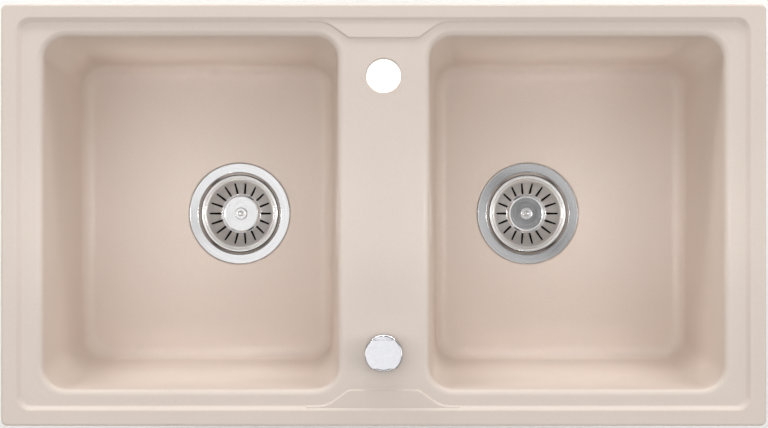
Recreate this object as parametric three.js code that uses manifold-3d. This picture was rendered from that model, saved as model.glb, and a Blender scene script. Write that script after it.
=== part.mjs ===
// Inset kitchen sink with two bowls, moulded in quartz composite, with a basket waste in each bowl and a
// turning knob on the deck that lifts the left basket through a cable.
// Millimetres. +X to the right, +Y to the back where the tap stands, +Z up. The origin is the middle of the
// sink in the plane of the worktop that its rim rests on.

import * as THREE from 'three';
import { mergeVertices } from 'three/addons/utils/BufferGeometryUtils.js';
import Module from 'manifold-3d';

const wasm = await Module();
wasm.setup();

// ---------------------------------------------------------------- driving dimensions

const GAP = 0.3; // clearance between two pieces that touch
const SHAFT_GAP = 0.4; // clearance round a shaft or rod that moves
const ROUND = 36; // facets on what shows, two to each basket slot
const ROUND_SMALL = 12; // facets on small turned pieces
const ROUND_HIDDEN = 20; // facets on rings and housings under the sink
const CORNER_STEPS = { rim: 3, field: 3, bowl: 4 }; // steps in a plan corner
const FILLET_STEPS = 4; // steps in a rounding seen in section

const RIM = { halfLength: 390, halfWidth: 215, corner: 6.5, under: 1.8, top: 10, edge: 2.5 };
const RIM_SEAL = { outerInset: 2.5, innerInset: 10.5, thickness: 1.5 };
const DECK = { halfLength: 377, halfWidth: 203, corner: 12, under: -4 };
const FIELD = { z: 6, halfLength: 375, front: -200, back: 202, corner: 14, slope: 6 };
const PLATEAU = { z: 8, slope: 2.2, reach: 16, halfEdge: 35 }; // the half height platforms between the bowls
const PLATEAU_SHOULDER = { x: 46.6, reach: 8.2, bendX: 57, rootX: 66 }; // their slanted and curved ends

const BOWL = { inner: 47, outer: 348, front: -177.6, back: 182.7, corner: 24, lip: 7, floor: -170 };
const DRAFT = { x: 10, y: 15 }; // how far the bowl walls lean in on their way down
const BOWL_FILLET = { x: 15, y: 16, z: 16, corner: 27, floorCorner: 20 };
const WALL = 10;
const FLOOR_THICKNESS = 11;

const TAP_HOLE = { y: 142.4, r: 17.5 };
const CONTROL = { y: -140.7, holeR: 15 };
const WASTE = { x: 162, y: 1.5, seatR: 57.3, seatDepth: 2.4, holeR: 46 };

// Heights in a waste are counted from the bowl floor.
const FLANGE = { r: 56.5, top: 0.6, sheet: 1.2, mouthR: 46.2, floorR: 38, floor: -30.5 };
const CUP_HOLES = { count: 6, r: 4.2, pitchR: 15 };
const FLANGE_SEAL = { rIn: 47.6, rOut: 55 };
const BASKET = { rimR: 43, rimTop: -0.6, discR: 20.6, disc: -20, sheet: 1, stemHole: 3 };
const SLOTS = { count: 18, width: 1.7, rIn: 22.6, rOut: 34.6 };
const BASKET_KNOB = { r: 7, neckR: 4, ballR: 2.7, top: -12.5, stemR: 2.6, stemEnd: -40 };
const BASKET_SEAL = { rIn: 6, rLip: 25.5, thickness: 2 };
const RETAINER = { acrossFlats: 20, height: 3 };
const BOLT = { headR: 8.5, head: 3, r: 5.7, bore: 3.2 };
const BODY_SEAL = { rIn: 46.8, rOut: 56, thickness: 3 };
const BODY = { flangeR: 56, flange: 4, boreR: 46, r: 49, shelf: -36, under: -39, neckR: 26, wayR: 20.5 };
const SPIGOT = { r: 23.9, top: -73, end: -92 };
const HUB = { r: 9.5, bore: 6, top: -32, end: -46, rib: 3 };

// The lift works hang in the neck of the left waste body. The lever's shaft lies along Y.
const LEVER = { x: 15, z: -61, r: 2.5, end: 5, out: -37.4, tiltDeg: 15, finger: 17, width: 5, height: 4 };
const LIFT_PIN = { r: 2.6, tipR: 1, tip: -62.3, shoulder: -60.3 };
const BOSS = { r: 6, end: -30, sealR: 4.6, sealDepth: 3.2 };
const GLAND = { r: 8, start: -26.3, end: -33.5 };
const CRANK = { near: -34.1, thickness: 3, hubR: 5.5, armR: 4.5, reach: 15, slotR: 2, slotHalf: 0.8 };
const WIRE = { y: -39.4, rise: 14.75, r: 0.9, end: 57, blockHalf: 3, blockFront: -41.4, pinR: 1.5 };
const BRACKET = { near: 58, far: 62, halfWidth: 6.5, foot: -53, arm: 25 };
const FERRULE = { rIn: 1.4, rOut: 3.2, length: 18, collarR: 5, collar: 3.2, acrossFlats: 10 };

// Heights in the control are counted from the field that it stands on.
const KNOB = { r: 19, flat: 14, bottom: 7.4, top: 24, edge: 2.5, boreTop: 20.3 };
const BEZEL = { r: 19.3, bottom: 1.6, top: 7, hole: 8.2 };
const TUBE = { r: 14.2, bore: 8, top: 4.6 };
const CHAMBER = { r: 22, boreR: 18, top: -13, roof: -16, bottom: -36 };
const SPINDLE = { r: 4, top: 20, bottom: -30.7, screwBore: 1.5 };
const DRUM = { r: 9, grooveR: 5.1, top: -23, bottom: -31, flange: 1.5 };
const COVER = { thickness: 3, screwR: 20, screwShank: 1, screwLength: 8 };
const CABLE_PORT_Z = -27;
const CABLE = { r: 2.5, sides: 8, steps: 32 };
const CABLE_ROUTE = [ // by hand: out of the control, down between the bowls, then out to the left waste
  [-5.1, -92, -21], [-5.1, -72, -26], [-5.1, -56, -41], [-5.1, -46, -64], [-5.1, -40, -95],
  [-5.4, -38.2, -130], [-8, -37.9, -160], [-17, -37.9, -187], [-35, -37.9, -206],
  [-58, -37.9, -214.6], [-76, -37.9, -216.25],
];

// ---------------------------------------------------------------- finishes

const FINISHES = {
  composite: { color: '#d8c9be', roughness: 0.55, metalness: 0 },
  steel: { color: '#c8cacc', roughness: 0.32, metalness: 1 },
  chrome: { color: '#e4e6e9', roughness: 0.1, metalness: 1 },
  rubber: { color: '#1d1d1f', roughness: 0.8, metalness: 0 },
  plastic: { color: '#2c2e31', roughness: 0.5, metalness: 0 },
  palePlastic: { color: '#c9c8c4', roughness: 0.45, metalness: 0 },
  brass: { color: '#b8975a', roughness: 0.3, metalness: 1 },
};

// ---------------------------------------------------------------- shape helpers

const radians = THREE.MathUtils.degToRad;

function signedVolume(positions, index) {
  const [a, b, c] = [new THREE.Vector3(), new THREE.Vector3(), new THREE.Vector3()];
  let volume = 0;
  for (let i = 0; i < index.length; i += 3) {
    a.fromArray(positions, 3 * index[i]);
    b.fromArray(positions, 3 * index[i + 1]);
    c.fromArray(positions, 3 * index[i + 2]);
    volume += a.dot(b.cross(c)) / 6;
  }
  return volume;
}

// A closed geometry as a solid: shared vertices merged, collapsed faces dropped, faces turned outwards.
function toSolid(geometry) {
  const bare = geometry.clone();
  bare.deleteAttribute('normal');
  bare.deleteAttribute('uv');
  const merged = mergeVertices(bare);
  const positions = merged.getAttribute('position').array;
  const triangles = [];
  for (let i = 0; i < merged.index.count; i += 3) {
    const [a, b, c] = merged.index.array.slice(i, i + 3);
    if (a !== b && b !== c && c !== a) triangles.push(a, b, c);
  }
  if (signedVolume(positions, triangles) < 0) triangles.reverse();
  return new wasm.Manifold(new wasm.Mesh({
    numProp: 3,
    vertProperties: new Float32Array(positions),
    triVerts: new Uint32Array(triangles),
  }));
}

function toGeometry(solid) {
  const { vertProperties, triVerts } = solid.getMesh();
  const geometry = new THREE.BufferGeometry();
  geometry.setAttribute('position', new THREE.BufferAttribute(new Float32Array(vertProperties), 3));
  geometry.setIndex(new THREE.BufferAttribute(new Uint32Array(triVerts), 1));
  return geometry;
}

function join(...geometries) {
  return toGeometry(geometries.map(toSolid).reduce((whole, solid) => whole.add(solid)));
}

function cut(geometry, ...tools) {
  return toGeometry(tools.map(toSolid).reduce((whole, tool) => whole.subtract(tool), toSolid(geometry)));
}

// A piece turned about Z, from its section as [radius, height] points.
function turned(section, facets = ROUND_HIDDEN) {
  const onAxis = section[0][0] === 0 && section.at(-1)[0] === 0;
  const points = (onAxis ? section : [...section, section[0]]).map(([r, z]) => new THREE.Vector2(r, z));
  return new THREE.LatheGeometry(points, facets).rotateX(Math.PI / 2);
}

function rod(r, bottom, top, facets = ROUND_SMALL) {
  return turned([[0, bottom], [r, bottom], [r, top], [0, top]], facets);
}

function ring(rIn, rOut, bottom, top, facets = ROUND_HIDDEN) {
  return turned([[rIn, bottom], [rOut, bottom], [rOut, top], [rIn, top]], facets);
}

function block([x0, y0, z0], [x1, y1, z1]) {
  const box = new THREE.BoxGeometry(x1 - x0, y1 - y0, z1 - z0);
  return box.translate((x0 + x1) / 2, (y0 + y1) / 2, (z0 + z1) / 2);
}

// A piece made along Z, laid along +Y or +X, with its own axis through the given point.
const layAlongY = (geometry, x, z) => geometry.rotateX(-Math.PI / 2).translate(x, 0, z);
const layAlongX = (geometry, y, z) => geometry.rotateY(Math.PI / 2).translate(0, y, z);

// The plan outline of a rounded rectangle, with the same number of points whatever its size.
function outline(x0, x1, y0, y1, corner, steps) {
  const centres = [
    [x1 - corner, y0 + corner, -90], [x1 - corner, y1 - corner, 0],
    [x0 + corner, y1 - corner, 90], [x0 + corner, y0 + corner, 180],
  ];
  return centres.flatMap(([x, y, startDeg]) => {
    const start = radians(startDeg);
    const arc = new THREE.Path().absarc(x, y, corner, start, start + Math.PI / 2);
    return arc.getPoints(steps);
  });
}

// A closed skin over outlines stacked from the lowest to the highest.
function loft(rings) {
  const count = rings[0].outline.length;
  const positions = rings.flatMap((level) => level.outline.flatMap((point) => [point.x, point.y, level.z]));
  const index = [];
  for (let level = 0; level < rings.length - 1; level += 1) {
    for (let i = 0; i < count; i += 1) {
      const low = level * count + i;
      const lowNext = level * count + ((i + 1) % count);
      index.push(low, lowNext, lowNext + count, low, lowNext + count, low + count);
    }
  }
  const top = (rings.length - 1) * count;
  for (const [a, b, c] of THREE.ShapeUtils.triangulateShape(rings[0].outline, [])) {
    index.push(a, c, b, top + a, top + b, top + c);
  }
  const geometry = new THREE.BufferGeometry();
  geometry.setAttribute('position', new THREE.Float32BufferAttribute(positions, 3));
  geometry.setIndex(index);
  return geometry;
}

function piece(name, geometry, finish) {
  const closed = toGeometry(toSolid(geometry));
  closed.computeVertexNormals();
  const mesh = new THREE.Mesh(closed, new THREE.MeshStandardMaterial(FINISHES[finish]));
  mesh.name = name;
  return mesh;
}

function groupAt(x, y, z, ...meshes) {
  const group = new THREE.Group();
  group.position.set(x, y, z);
  group.add(...meshes);
  return group;
}

// ---------------------------------------------------------------- sink shell

function slabRing(shape, inset, z) {
  const length = shape.halfLength - inset;
  const width = shape.halfWidth - inset;
  const corner = shape.corner - inset / 2;
  return { outline: outline(-length, length, -width, width, corner, CORNER_STEPS.rim), z };
}

function rimSlab() {
  const rings = [slabRing(RIM, 0, RIM.under)];
  for (let step = 0; step <= FILLET_STEPS; step += 1) {
    const angle = (step / FILLET_STEPS) * (Math.PI / 2);
    const inset = RIM.edge * (1 - Math.cos(angle));
    rings.push(slabRing(RIM, inset, RIM.top - RIM.edge * (1 - Math.sin(angle))));
  }
  return loft(rings);
}

function deckSlab() {
  return loft([slabRing(DECK, 0, DECK.under), slabRing(DECK, 0, RIM.under + RIM.edge / 2)]);
}

// The half height platform between the bowls, at the back (side 1) or the front (side -1).
function plateau(side) {
  const stepY = side > 0 ? FIELD.back - FIELD.slope : FIELD.front + FIELD.slope;
  const y = (reach) => stepY - side * reach;
  const beyond = y(-2 * FIELD.slope);
  const { halfEdge } = PLATEAU;
  const { x: shoulderX, reach: shoulderReach, bendX, rootX } = PLATEAU_SHOULDER;
  const shape = new THREE.Shape();
  shape.moveTo(-rootX, beyond);
  shape.lineTo(-rootX, y(0));
  shape.quadraticCurveTo(-bendX, y(1), -shoulderX, y(shoulderReach));
  shape.lineTo(-halfEdge, y(PLATEAU.reach));
  shape.lineTo(halfEdge, y(PLATEAU.reach));
  shape.lineTo(shoulderX, y(shoulderReach));
  shape.quadraticCurveTo(bendX, y(1), rootX, y(0));
  shape.lineTo(rootX, beyond);
  const rise = PLATEAU.z - FIELD.z;
  const geometry = new THREE.ExtrudeGeometry(shape, {
    depth: rise,
    bevelThickness: rise,
    bevelSize: PLATEAU.slope,
    bevelOffset: -PLATEAU.slope / 2,
    bevelSegments: 1,
    curveSegments: FILLET_STEPS,
  });
  return geometry.translate(0, 0, FIELD.z - rise);
}

function recess() {
  const level = (inset, z) => {
    const length = FIELD.halfLength - inset;
    const sides = [-length, length, FIELD.front + inset, FIELD.back - inset];
    return { outline: outline(...sides, FIELD.corner - inset / 2, CORNER_STEPS.field), z };
  };
  const rise = RIM.top - FIELD.z;
  const hollow = loft([
    level(FIELD.slope, FIELD.z),
    level(0.75 * FIELD.slope, FIELD.z + 0.15 * rise),
    level(0.2 * FIELD.slope, RIM.top - 0.15 * rise),
    level(0, RIM.top),
    level(0, RIM.top + rise),
  ]);
  return cut(hollow, plateau(1), plateau(-1));
}

// One level of a bowl's skin. grow moves it outwards in plan, for the outer skin and the lip.
function bowlRing(side, insetX, insetY, corner, z) {
  const inner = BOWL.inner + insetX;
  const outer = BOWL.outer - insetX;
  const [x0, x1] = side > 0 ? [inner, outer] : [-outer, -inner];
  const sides = [x0, x1, BOWL.front + insetY, BOWL.back - insetY];
  return { outline: outline(...sides, corner, CORNER_STEPS.bowl), z };
}

// The bowl's fillet from its floor up to its wall. thickness moves it out to the outer skin.
function filletRings(side, thickness) {
  const rings = [];
  const top = BOWL.floor + BOWL_FILLET.z;
  for (let step = FILLET_STEPS; step >= 0; step -= 1) {
    const angle = (step / FILLET_STEPS) * (Math.PI / 2);
    const sweep = 1 - Math.cos(angle);
    const insetX = DRAFT.x - thickness + (BOWL_FILLET.x + thickness) * sweep;
    const insetY = DRAFT.y - thickness + (BOWL_FILLET.y + thickness) * sweep;
    const depth = BOWL_FILLET.z + (thickness > 0 ? FLOOR_THICKNESS : 0);
    const corner = THREE.MathUtils.lerp(BOWL_FILLET.corner, BOWL_FILLET.floorCorner, sweep);
    const z = top - depth * Math.sin(angle);
    rings.push(bowlRing(side, insetX, insetY, corner + thickness * (1 - sweep), z));
  }
  return rings;
}

function bowlOutside(side) {
  return loft([...filletRings(side, WALL), bowlRing(side, -WALL, -WALL, BOWL.corner + WALL, RIM.under)]);
}

function bowlInside(side) {
  const rings = filletRings(side, 0);
  for (let step = 0; step <= FILLET_STEPS; step += 1) {
    const angle = (step / FILLET_STEPS) * (Math.PI / 2);
    const grow = BOWL.lip * (1 - Math.cos(angle));
    const z = FIELD.z - BOWL.lip * (1 - Math.sin(angle));
    rings.push(bowlRing(side, -grow, -grow, BOWL.corner + grow, z));
  }
  rings.push(bowlRing(side, -BOWL.lip, -BOWL.lip, BOWL.corner + BOWL.lip, RIM.top));
  return loft(rings);
}

function holeThrough(x, y, r, bottom, top, facets = ROUND) {
  return rod(r, bottom, top, facets).translate(x, y, 0);
}

function sinkBody() {
  const skin = join(rimSlab(), deckSlab(), bowlOutside(-1), bowlOutside(1));
  const deckHoles = [[TAP_HOLE.y, TAP_HOLE.r], [CONTROL.y, CONTROL.holeR]]
    .map(([y, r]) => holeThrough(0, y, r, 2 * DECK.under, RIM.top, ROUND_HIDDEN));
  const wasteHoles = [-1, 1].flatMap((side) => {
    const x = side * WASTE.x;
    const seat = BOWL.floor - WASTE.seatDepth;
    return [
      holeThrough(x, WASTE.y, WASTE.seatR, seat, BOWL.floor + 1),
      holeThrough(x, WASTE.y, WASTE.holeR, BOWL.floor - 2 * FLOOR_THICKNESS, BOWL.floor + 1),
    ];
  });
  return cut(skin, recess(), bowlInside(-1), bowlInside(1), ...deckHoles, ...wasteHoles);
}

function rimSeal() {
  const strip = (inset) => {
    const length = RIM.halfLength - inset;
    const width = RIM.halfWidth - inset;
    return outline(-length, length, -width, width, RIM.corner, CORNER_STEPS.rim);
  };
  const shape = new THREE.Shape(strip(RIM_SEAL.outerInset));
  shape.holes.push(new THREE.Path(strip(RIM_SEAL.innerInset)));
  return new THREE.ExtrudeGeometry(shape, { depth: RIM_SEAL.thickness, bevelEnabled: false });
}

// ---------------------------------------------------------------- waste

// Pressed from one sheet: a flat ring that shows, a rolled mouth, and a cup that hangs in the sink's hole.
function wasteFlange() {
  const { r, top, sheet, mouthR, floorR, floor } = FLANGE;
  const section = [
    [0, floor], [floorR - 3, floor], [floorR, floor + 3], [43.2, -8], [43.5, -3], [mouthR - 1, -1.3],
    [mouthR, top], [r - 0.8, top], [r, top - 0.6], [r, top - sheet], [mouthR + 0.6, top - sheet],
    [45.7, -1.9], [44.9, -9], [floorR + 1.3, floor + 2.6], [floorR - 2.6, floor - sheet], [0, floor - sheet],
  ];
  const holes = Array.from({ length: CUP_HOLES.count }, (_, i) => (
    rod(CUP_HOLES.r, floor - 2 * sheet, floor + sheet, 12)
      .translate(CUP_HOLES.pitchR, 0, 0)
      .rotateZ((i * 2 * Math.PI) / CUP_HOLES.count)
  ));
  const boltHole = rod(BOLT.r + GAP, floor - 2 * sheet, floor + sheet);
  return cut(turned(section, ROUND), boltHole, ...holes);
}

function flangeSeal() {
  const top = FLANGE.top - FLANGE.sheet - GAP;
  return ring(FLANGE_SEAL.rIn, FLANGE_SEAL.rOut, -WASTE.seatDepth + GAP, top);
}

function bodySeal() {
  const top = -FLOOR_THICKNESS - GAP;
  return ring(BODY_SEAL.rIn, BODY_SEAL.rOut, top - BODY_SEAL.thickness, top);
}

// A dished sheet: rolled rim, slotted wall, and a flat disc in the middle that stands in a narrow crease.
function basket() {
  const { rimR, rimTop, discR, disc, sheet, stemHole } = BASKET;
  const over = [
    [rimR, rimTop - 1], [rimR - 0.8, rimTop], [37, -2.4], [33.6, -8.4], [27.9, -16.4], [22.4, -20.9],
    [discR, disc],
  ];
  const under = [
    [discR, disc - sheet], [22.2, -22], [28.7, -17.1], [34.5, -8.9], [37.6, -3.4], [rimR - 0.9, -1.9],
  ];
  const section = [[stemHole, disc], ...over.reverse(), ...under.reverse(), [stemHole, disc - sheet]];
  const dish = turned(section, ROUND);
  const slots = Array.from({ length: SLOTS.count }, (_, i) => (
    block([SLOTS.rIn, -SLOTS.width / 2, disc - 3], [SLOTS.rOut, SLOTS.width / 2, -4])
      .rotateZ((i * 2 * Math.PI) / SLOTS.count)
  ));
  return cut(dish, ...slots);
}

function basketKnob() {
  const { r, neckR, ballR, top, stemR, stemEnd } = BASKET_KNOB;
  const foot = BASKET.disc + GAP;
  return turned([
    [0, stemEnd], [stemR - 0.6, stemEnd], [stemR, stemEnd + 0.6], [stemR, foot], [neckR, foot],
    [neckR, foot + 2], [r - 1, foot + 3.4], [r, foot + 4.4], [r - 1.2, foot + 5.6], [ballR, foot + 5.9],
    [ballR - 0.6, top - 0.4], [0, top],
  ], ROUND_SMALL);
}

function basketSeal() {
  const top = BASKET.disc - BASKET.sheet - GAP;
  const lip = FLANGE.floor + GAP;
  const { rIn, rLip, thickness } = BASKET_SEAL;
  return turned([
    [rIn, top], [16.5, top], [19, top - 2], [rLip, lip + 1.4], [rLip, lip], [rLip - 1.8, lip],
    [18.4, top - thickness - 1.8], [15.8, top - thickness], [rIn, top - thickness],
  ]);
}

function hexNut(acrossFlats, bore, bottom, top) {
  return cut(rod(acrossFlats / Math.sqrt(3), bottom, top, 6), rod(bore, bottom - 1, top + 1));
}

function sealRetainer() {
  const top = BASKET.disc - BASKET.sheet - BASKET_SEAL.thickness - 2 * GAP;
  return hexNut(RETAINER.acrossFlats, BASKET_KNOB.stemR + GAP, top - RETAINER.height, top);
}

function clampBolt() {
  const { headR, r, bore, head } = BOLT;
  const under = FLANGE.floor + GAP;
  return turned([
    [bore, HUB.end], [r, HUB.end], [r, under], [headR, under],
    [headR, under + head - 0.6], [headR - 0.6, under + head], [bore, under + head],
  ]);
}

// The moulded cup below the sink. The left one also carries the lever's boss and the cable's bracket.
function wasteBody(carriesLift) {
  const top = -FLOOR_THICKNESS - 2 * GAP - BODY_SEAL.thickness;
  const skin = turned([
    [0, SPIGOT.end], [SPIGOT.r, SPIGOT.end], [SPIGOT.r, SPIGOT.top], [BODY.neckR, SPIGOT.top],
    [BODY.neckR, BODY.under], [BODY.r, BODY.under], [BODY.r, top - BODY.flange],
    [BODY.flangeR, top - BODY.flange], [BODY.flangeR, top], [0, top],
  ]);
  const way = turned([
    [0, SPIGOT.end - 1], [BODY.wayR, SPIGOT.end - 1], [BODY.wayR, BODY.shelf],
    [BODY.boreR, BODY.shelf], [BODY.boreR, top + 1], [0, top + 1],
  ]);
  const rib = BODY.wayR + 1.5;
  const cross = [0, Math.PI / 2].map((turn) => (
    block([-rib, -HUB.rib / 2, HUB.end], [rib, HUB.rib / 2, BODY.shelf]).rotateZ(turn)
  ));
  const hub = rod(HUB.r, HUB.end, HUB.top, ROUND_HIDDEN);
  const hubBore = rod(HUB.bore, HUB.end - 1, HUB.top + 1);
  if (!carriesLift) return cut(join(cut(skin, way), hub, ...cross), hubBore);

  const boss = layAlongY(rod(BOSS.r, BOSS.end, -BODY.wayR / 2), LEVER.x, LEVER.z);
  const shaftBore = layAlongY(rod(LEVER.r + SHAFT_GAP, BOSS.end - 1, 0), LEVER.x, LEVER.z);
  const sealBore = layAlongY(rod(BOSS.sealR, BOSS.end - 1, BOSS.end + BOSS.sealDepth), LEVER.x, LEVER.z);
  const front = WIRE.y - BRACKET.halfWidth;
  const back = WIRE.y + BRACKET.halfWidth;
  const arm = block([BRACKET.arm, front, BODY.under], [BRACKET.far, back, BODY.shelf + 3]);
  const plate = block([BRACKET.near, front, BRACKET.foot], [BRACKET.far, back, BODY.shelf]);
  const wireZ = LEVER.z + WIRE.rise;
  const port = layAlongX(rod(FERRULE.rOut + GAP, BRACKET.near - 1, BRACKET.far + 1), WIRE.y, wireZ);
  return cut(
    join(cut(join(skin, boss, arm, plate), way), hub, ...cross),
    hubBore, shaftBore, sealBore, port,
  );
}

function wasteSet(side) {
  const name = side < 0 ? 'left' : 'right';
  return groupAt(
    side * WASTE.x, WASTE.y, BOWL.floor,
    piece(`${name}_waste_flange`, wasteFlange(), 'steel'),
    piece(`${name}_flange_seal`, flangeSeal(), 'rubber'),
    piece(`${name}_body_seal`, bodySeal(), 'rubber'),
    piece(`${name}_waste_body`, wasteBody(side < 0), 'plastic'),
    piece(`${name}_clamp_bolt`, clampBolt(), 'steel'),
    piece(`${name}_basket`, basket(), 'steel'),
    piece(`${name}_basket_knob`, basketKnob(), 'steel'),
    piece(`${name}_basket_seal`, basketSeal(), 'rubber'),
    piece(`${name}_seal_retainer`, sealRetainer(), 'palePlastic'),
    ...(side < 0 ? liftWorks() : []),
  );
}

// ---------------------------------------------------------------- lift works in the left waste

const leverTilt = radians(-LEVER.tiltDeg); // closed: the finger hangs down and the crank leans left

function liftPin() {
  const top = BASKET_KNOB.stemEnd - GAP;
  return turned([
    [0, LIFT_PIN.tip], [LIFT_PIN.tipR, LIFT_PIN.tip], [LIFT_PIN.r, LIFT_PIN.shoulder],
    [LIFT_PIN.r, top], [0, top],
  ], ROUND_SMALL);
}

function liftLever() {
  const shaft = layAlongY(rod(LEVER.r, LEVER.out, LEVER.end), 0, 0);
  const boreEnd = LEVER.out + COVER.screwLength;
  const screwBore = layAlongY(rod(COVER.screwShank + GAP, LEVER.out - 1, boreEnd), 0, 0);
  const { width, height, finger } = LEVER;
  const arm = block([-finger, -width / 2, -height / 2], [0, width / 2, height / 2]).rotateY(leverTilt);
  return cut(join(shaft, arm), screwBore).translate(LEVER.x, 0, LEVER.z);
}

function shaftSeal() {
  const middle = BOSS.end + BOSS.sealDepth / 2;
  const half = BOSS.sealDepth / 2 - GAP;
  const rIn = LEVER.r + SHAFT_GAP;
  return layAlongY(ring(rIn, BOSS.sealR - GAP, middle - half, middle + half, ROUND_SMALL), LEVER.x, LEVER.z);
}

function shaftGland() {
  const seat = BOSS.end - GAP;
  const rIn = LEVER.r + SHAFT_GAP;
  return layAlongY(turned([
    [rIn, GLAND.end], [GLAND.r, GLAND.end], [GLAND.r, GLAND.start], [BOSS.r + GAP, GLAND.start],
    [BOSS.r + GAP, seat], [rIn, seat],
  ], ROUND_SMALL), LEVER.x, LEVER.z);
}

function crank() {
  const { hubR, armR, reach, slotR, slotHalf, thickness, near } = CRANK;
  const shape = new THREE.Shape();
  shape.absarc(0, 0, hubR, Math.PI, 2 * Math.PI);
  shape.absarc(0, reach, armR, 0, Math.PI);
  shape.closePath();
  const slot = new THREE.Path();
  slot.absarc(0, reach + slotHalf, slotR, 0, Math.PI);
  slot.absarc(0, reach - slotHalf, slotR, Math.PI, 2 * Math.PI);
  slot.closePath();
  const bore = new THREE.Path().absarc(0, 0, LEVER.r + GAP, 0, 2 * Math.PI);
  shape.holes.push(slot, bore);
  const plate = new THREE.ExtrudeGeometry(shape, { depth: thickness, bevelEnabled: false, curveSegments: 4 });
  return plate.rotateX(Math.PI / 2).rotateY(leverTilt).translate(LEVER.x, near, LEVER.z);
}

function crankScrew() {
  const seat = LEVER.out - GAP;
  return layAlongY(turned([
    [0, seat - 2.6], [3.2, seat - 2.6], [4, seat - 1.8], [4, seat], [COVER.screwShank, seat],
    [COVER.screwShank, seat + COVER.screwLength - 1], [0, seat + COVER.screwLength - 1],
  ], ROUND_SMALL), LEVER.x, LEVER.z);
}

// The end of the cable's inner wire, with the block and pin that pull the crank.
function pullWire() {
  const z = LEVER.z + WIRE.rise;
  const x = LEVER.x - WIRE.rise * Math.tan(radians(LEVER.tiltDeg));
  const blockBack = CRANK.near - CRANK.thickness - GAP;
  const half = WIRE.blockHalf;
  const body = block([x - half, WIRE.blockFront, z - half], [x + half, blockBack, z + half]);
  const pin = layAlongY(rod(WIRE.pinR, WIRE.y, CRANK.near + GAP), x, z);
  const wire = layAlongX(rod(WIRE.r, x, WIRE.end, 8), WIRE.y, z);
  return join(body, pin, wire);
}

// A threaded sleeve with a collar, along Z from 0, that holds one end of the cable's sheath.
function ferrule(collarAt) {
  const { rIn, rOut, length, collarR, collar } = FERRULE;
  return turned([
    [rIn, 0], [rOut, 0], [rOut, collarAt], [collarR, collarAt], [collarR, collarAt + collar],
    [rOut, collarAt + collar], [rOut, length], [rIn, length],
  ], ROUND_SMALL);
}

const FERRULE_START = BRACKET.near - 4;

function liftWorks() {
  const wireZ = LEVER.z + WIRE.rise;
  const sleeve = ferrule(BRACKET.far + GAP - FERRULE_START).translate(0, 0, FERRULE_START);
  const nut = hexNut(FERRULE.acrossFlats, FERRULE.rOut + GAP, FERRULE_START + 0.5, BRACKET.near - GAP);
  return [
    piece('left_lift_pin', liftPin(), 'steel'),
    piece('left_lift_lever', liftLever(), 'steel'),
    piece('left_shaft_seal', shaftSeal(), 'rubber'),
    piece('left_shaft_gland', shaftGland(), 'palePlastic'),
    piece('left_crank', crank(), 'palePlastic'),
    piece('left_crank_screw', crankScrew(), 'steel'),
    piece('left_pull_wire', pullWire(), 'steel'),
    piece('left_cable_ferrule', layAlongX(sleeve, WIRE.y, wireZ), 'brass'),
    piece('left_ferrule_nut', layAlongX(nut, WIRE.y, wireZ), 'brass'),
  ];
}

// ---------------------------------------------------------------- control

function controlKnob() {
  const { r, flat, bottom, top, edge, boreTop } = KNOB;
  const grip = turned([
    [0, bottom], [r, bottom], [r, top - edge], [r - 0.3 * edge, top - 0.3 * edge], [r - edge, top], [0, top],
  ], ROUND);
  const flats = [0, Math.PI].map((turn) => (
    block([-r, flat, bottom - 1], [r, r + 1, top + 1]).rotateZ(turn)
  ));
  return cut(grip, ...flats, rod(SPINDLE.r + GAP, bottom - 1, boreTop));
}

function controlBezel() {
  const { r, bottom, top, hole } = BEZEL;
  const bore = TUBE.r + GAP;
  return turned([
    [bore, bottom], [r, bottom], [r, top - 1.4], [r - 1.1, top], [hole, top], [hole, TUBE.top + 0.4],
    [bore, TUBE.top + 0.4],
  ]);
}

function controlHousing() {
  const skin = turned([
    [TUBE.bore, CHAMBER.roof], [CHAMBER.boreR, CHAMBER.roof], [CHAMBER.boreR, CHAMBER.bottom],
    [CHAMBER.r, CHAMBER.bottom], [CHAMBER.r, CHAMBER.top], [TUBE.r, CHAMBER.top], [TUBE.r, TUBE.top],
    [TUBE.bore, TUBE.top],
  ]);
  const port = rod(FERRULE.rOut + GAP, CHAMBER.boreR - 3, CHAMBER.r + 2);
  const screwHoles = [-1, 1].map((side) => (
    rod(COVER.screwShank + GAP, CHAMBER.bottom - 1, CHAMBER.bottom + COVER.screwLength, 8)
      .translate(side * COVER.screwR, 0, 0)
  ));
  return cut(skin, layAlongY(port, -DRUM.grooveR, CABLE_PORT_Z), ...screwHoles);
}

function controlSpindle() {
  const screwBore = rod(SPINDLE.screwBore, SPINDLE.bottom - 1, SPINDLE.bottom + COVER.screwLength);
  return cut(rod(SPINDLE.r, SPINDLE.bottom, SPINDLE.top), screwBore);
}

function controlDrum() {
  const { r, grooveR, top, bottom, flange } = DRUM;
  const bore = SPINDLE.r + GAP;
  return turned([
    [bore, bottom], [r, bottom], [r, bottom + flange], [grooveR, bottom + flange], [grooveR, top - flange],
    [r, top - flange], [r, top], [bore, top],
  ]);
}

function drumScrew() {
  const seat = DRUM.bottom - GAP;
  const shank = SPINDLE.screwBore - GAP;
  const end = seat + COVER.screwLength - 1;
  return turned([
    [0, seat - 2.5], [5.4, seat - 2.5], [6, seat - 1.9], [6, seat], [shank, seat], [shank, end], [0, end],
  ], ROUND_SMALL);
}

function coverScrew(side) {
  const seat = CHAMBER.bottom - COVER.thickness - 2 * GAP;
  const shank = COVER.screwShank;
  const end = seat + COVER.screwLength;
  const screw = [[0, seat - 1.5], [1.9, seat - 1.5], [1.9, seat], [shank, seat], [shank, end], [0, end]];
  return turned(screw, 8).translate(side * COVER.screwR, 0, 0);
}

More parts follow.
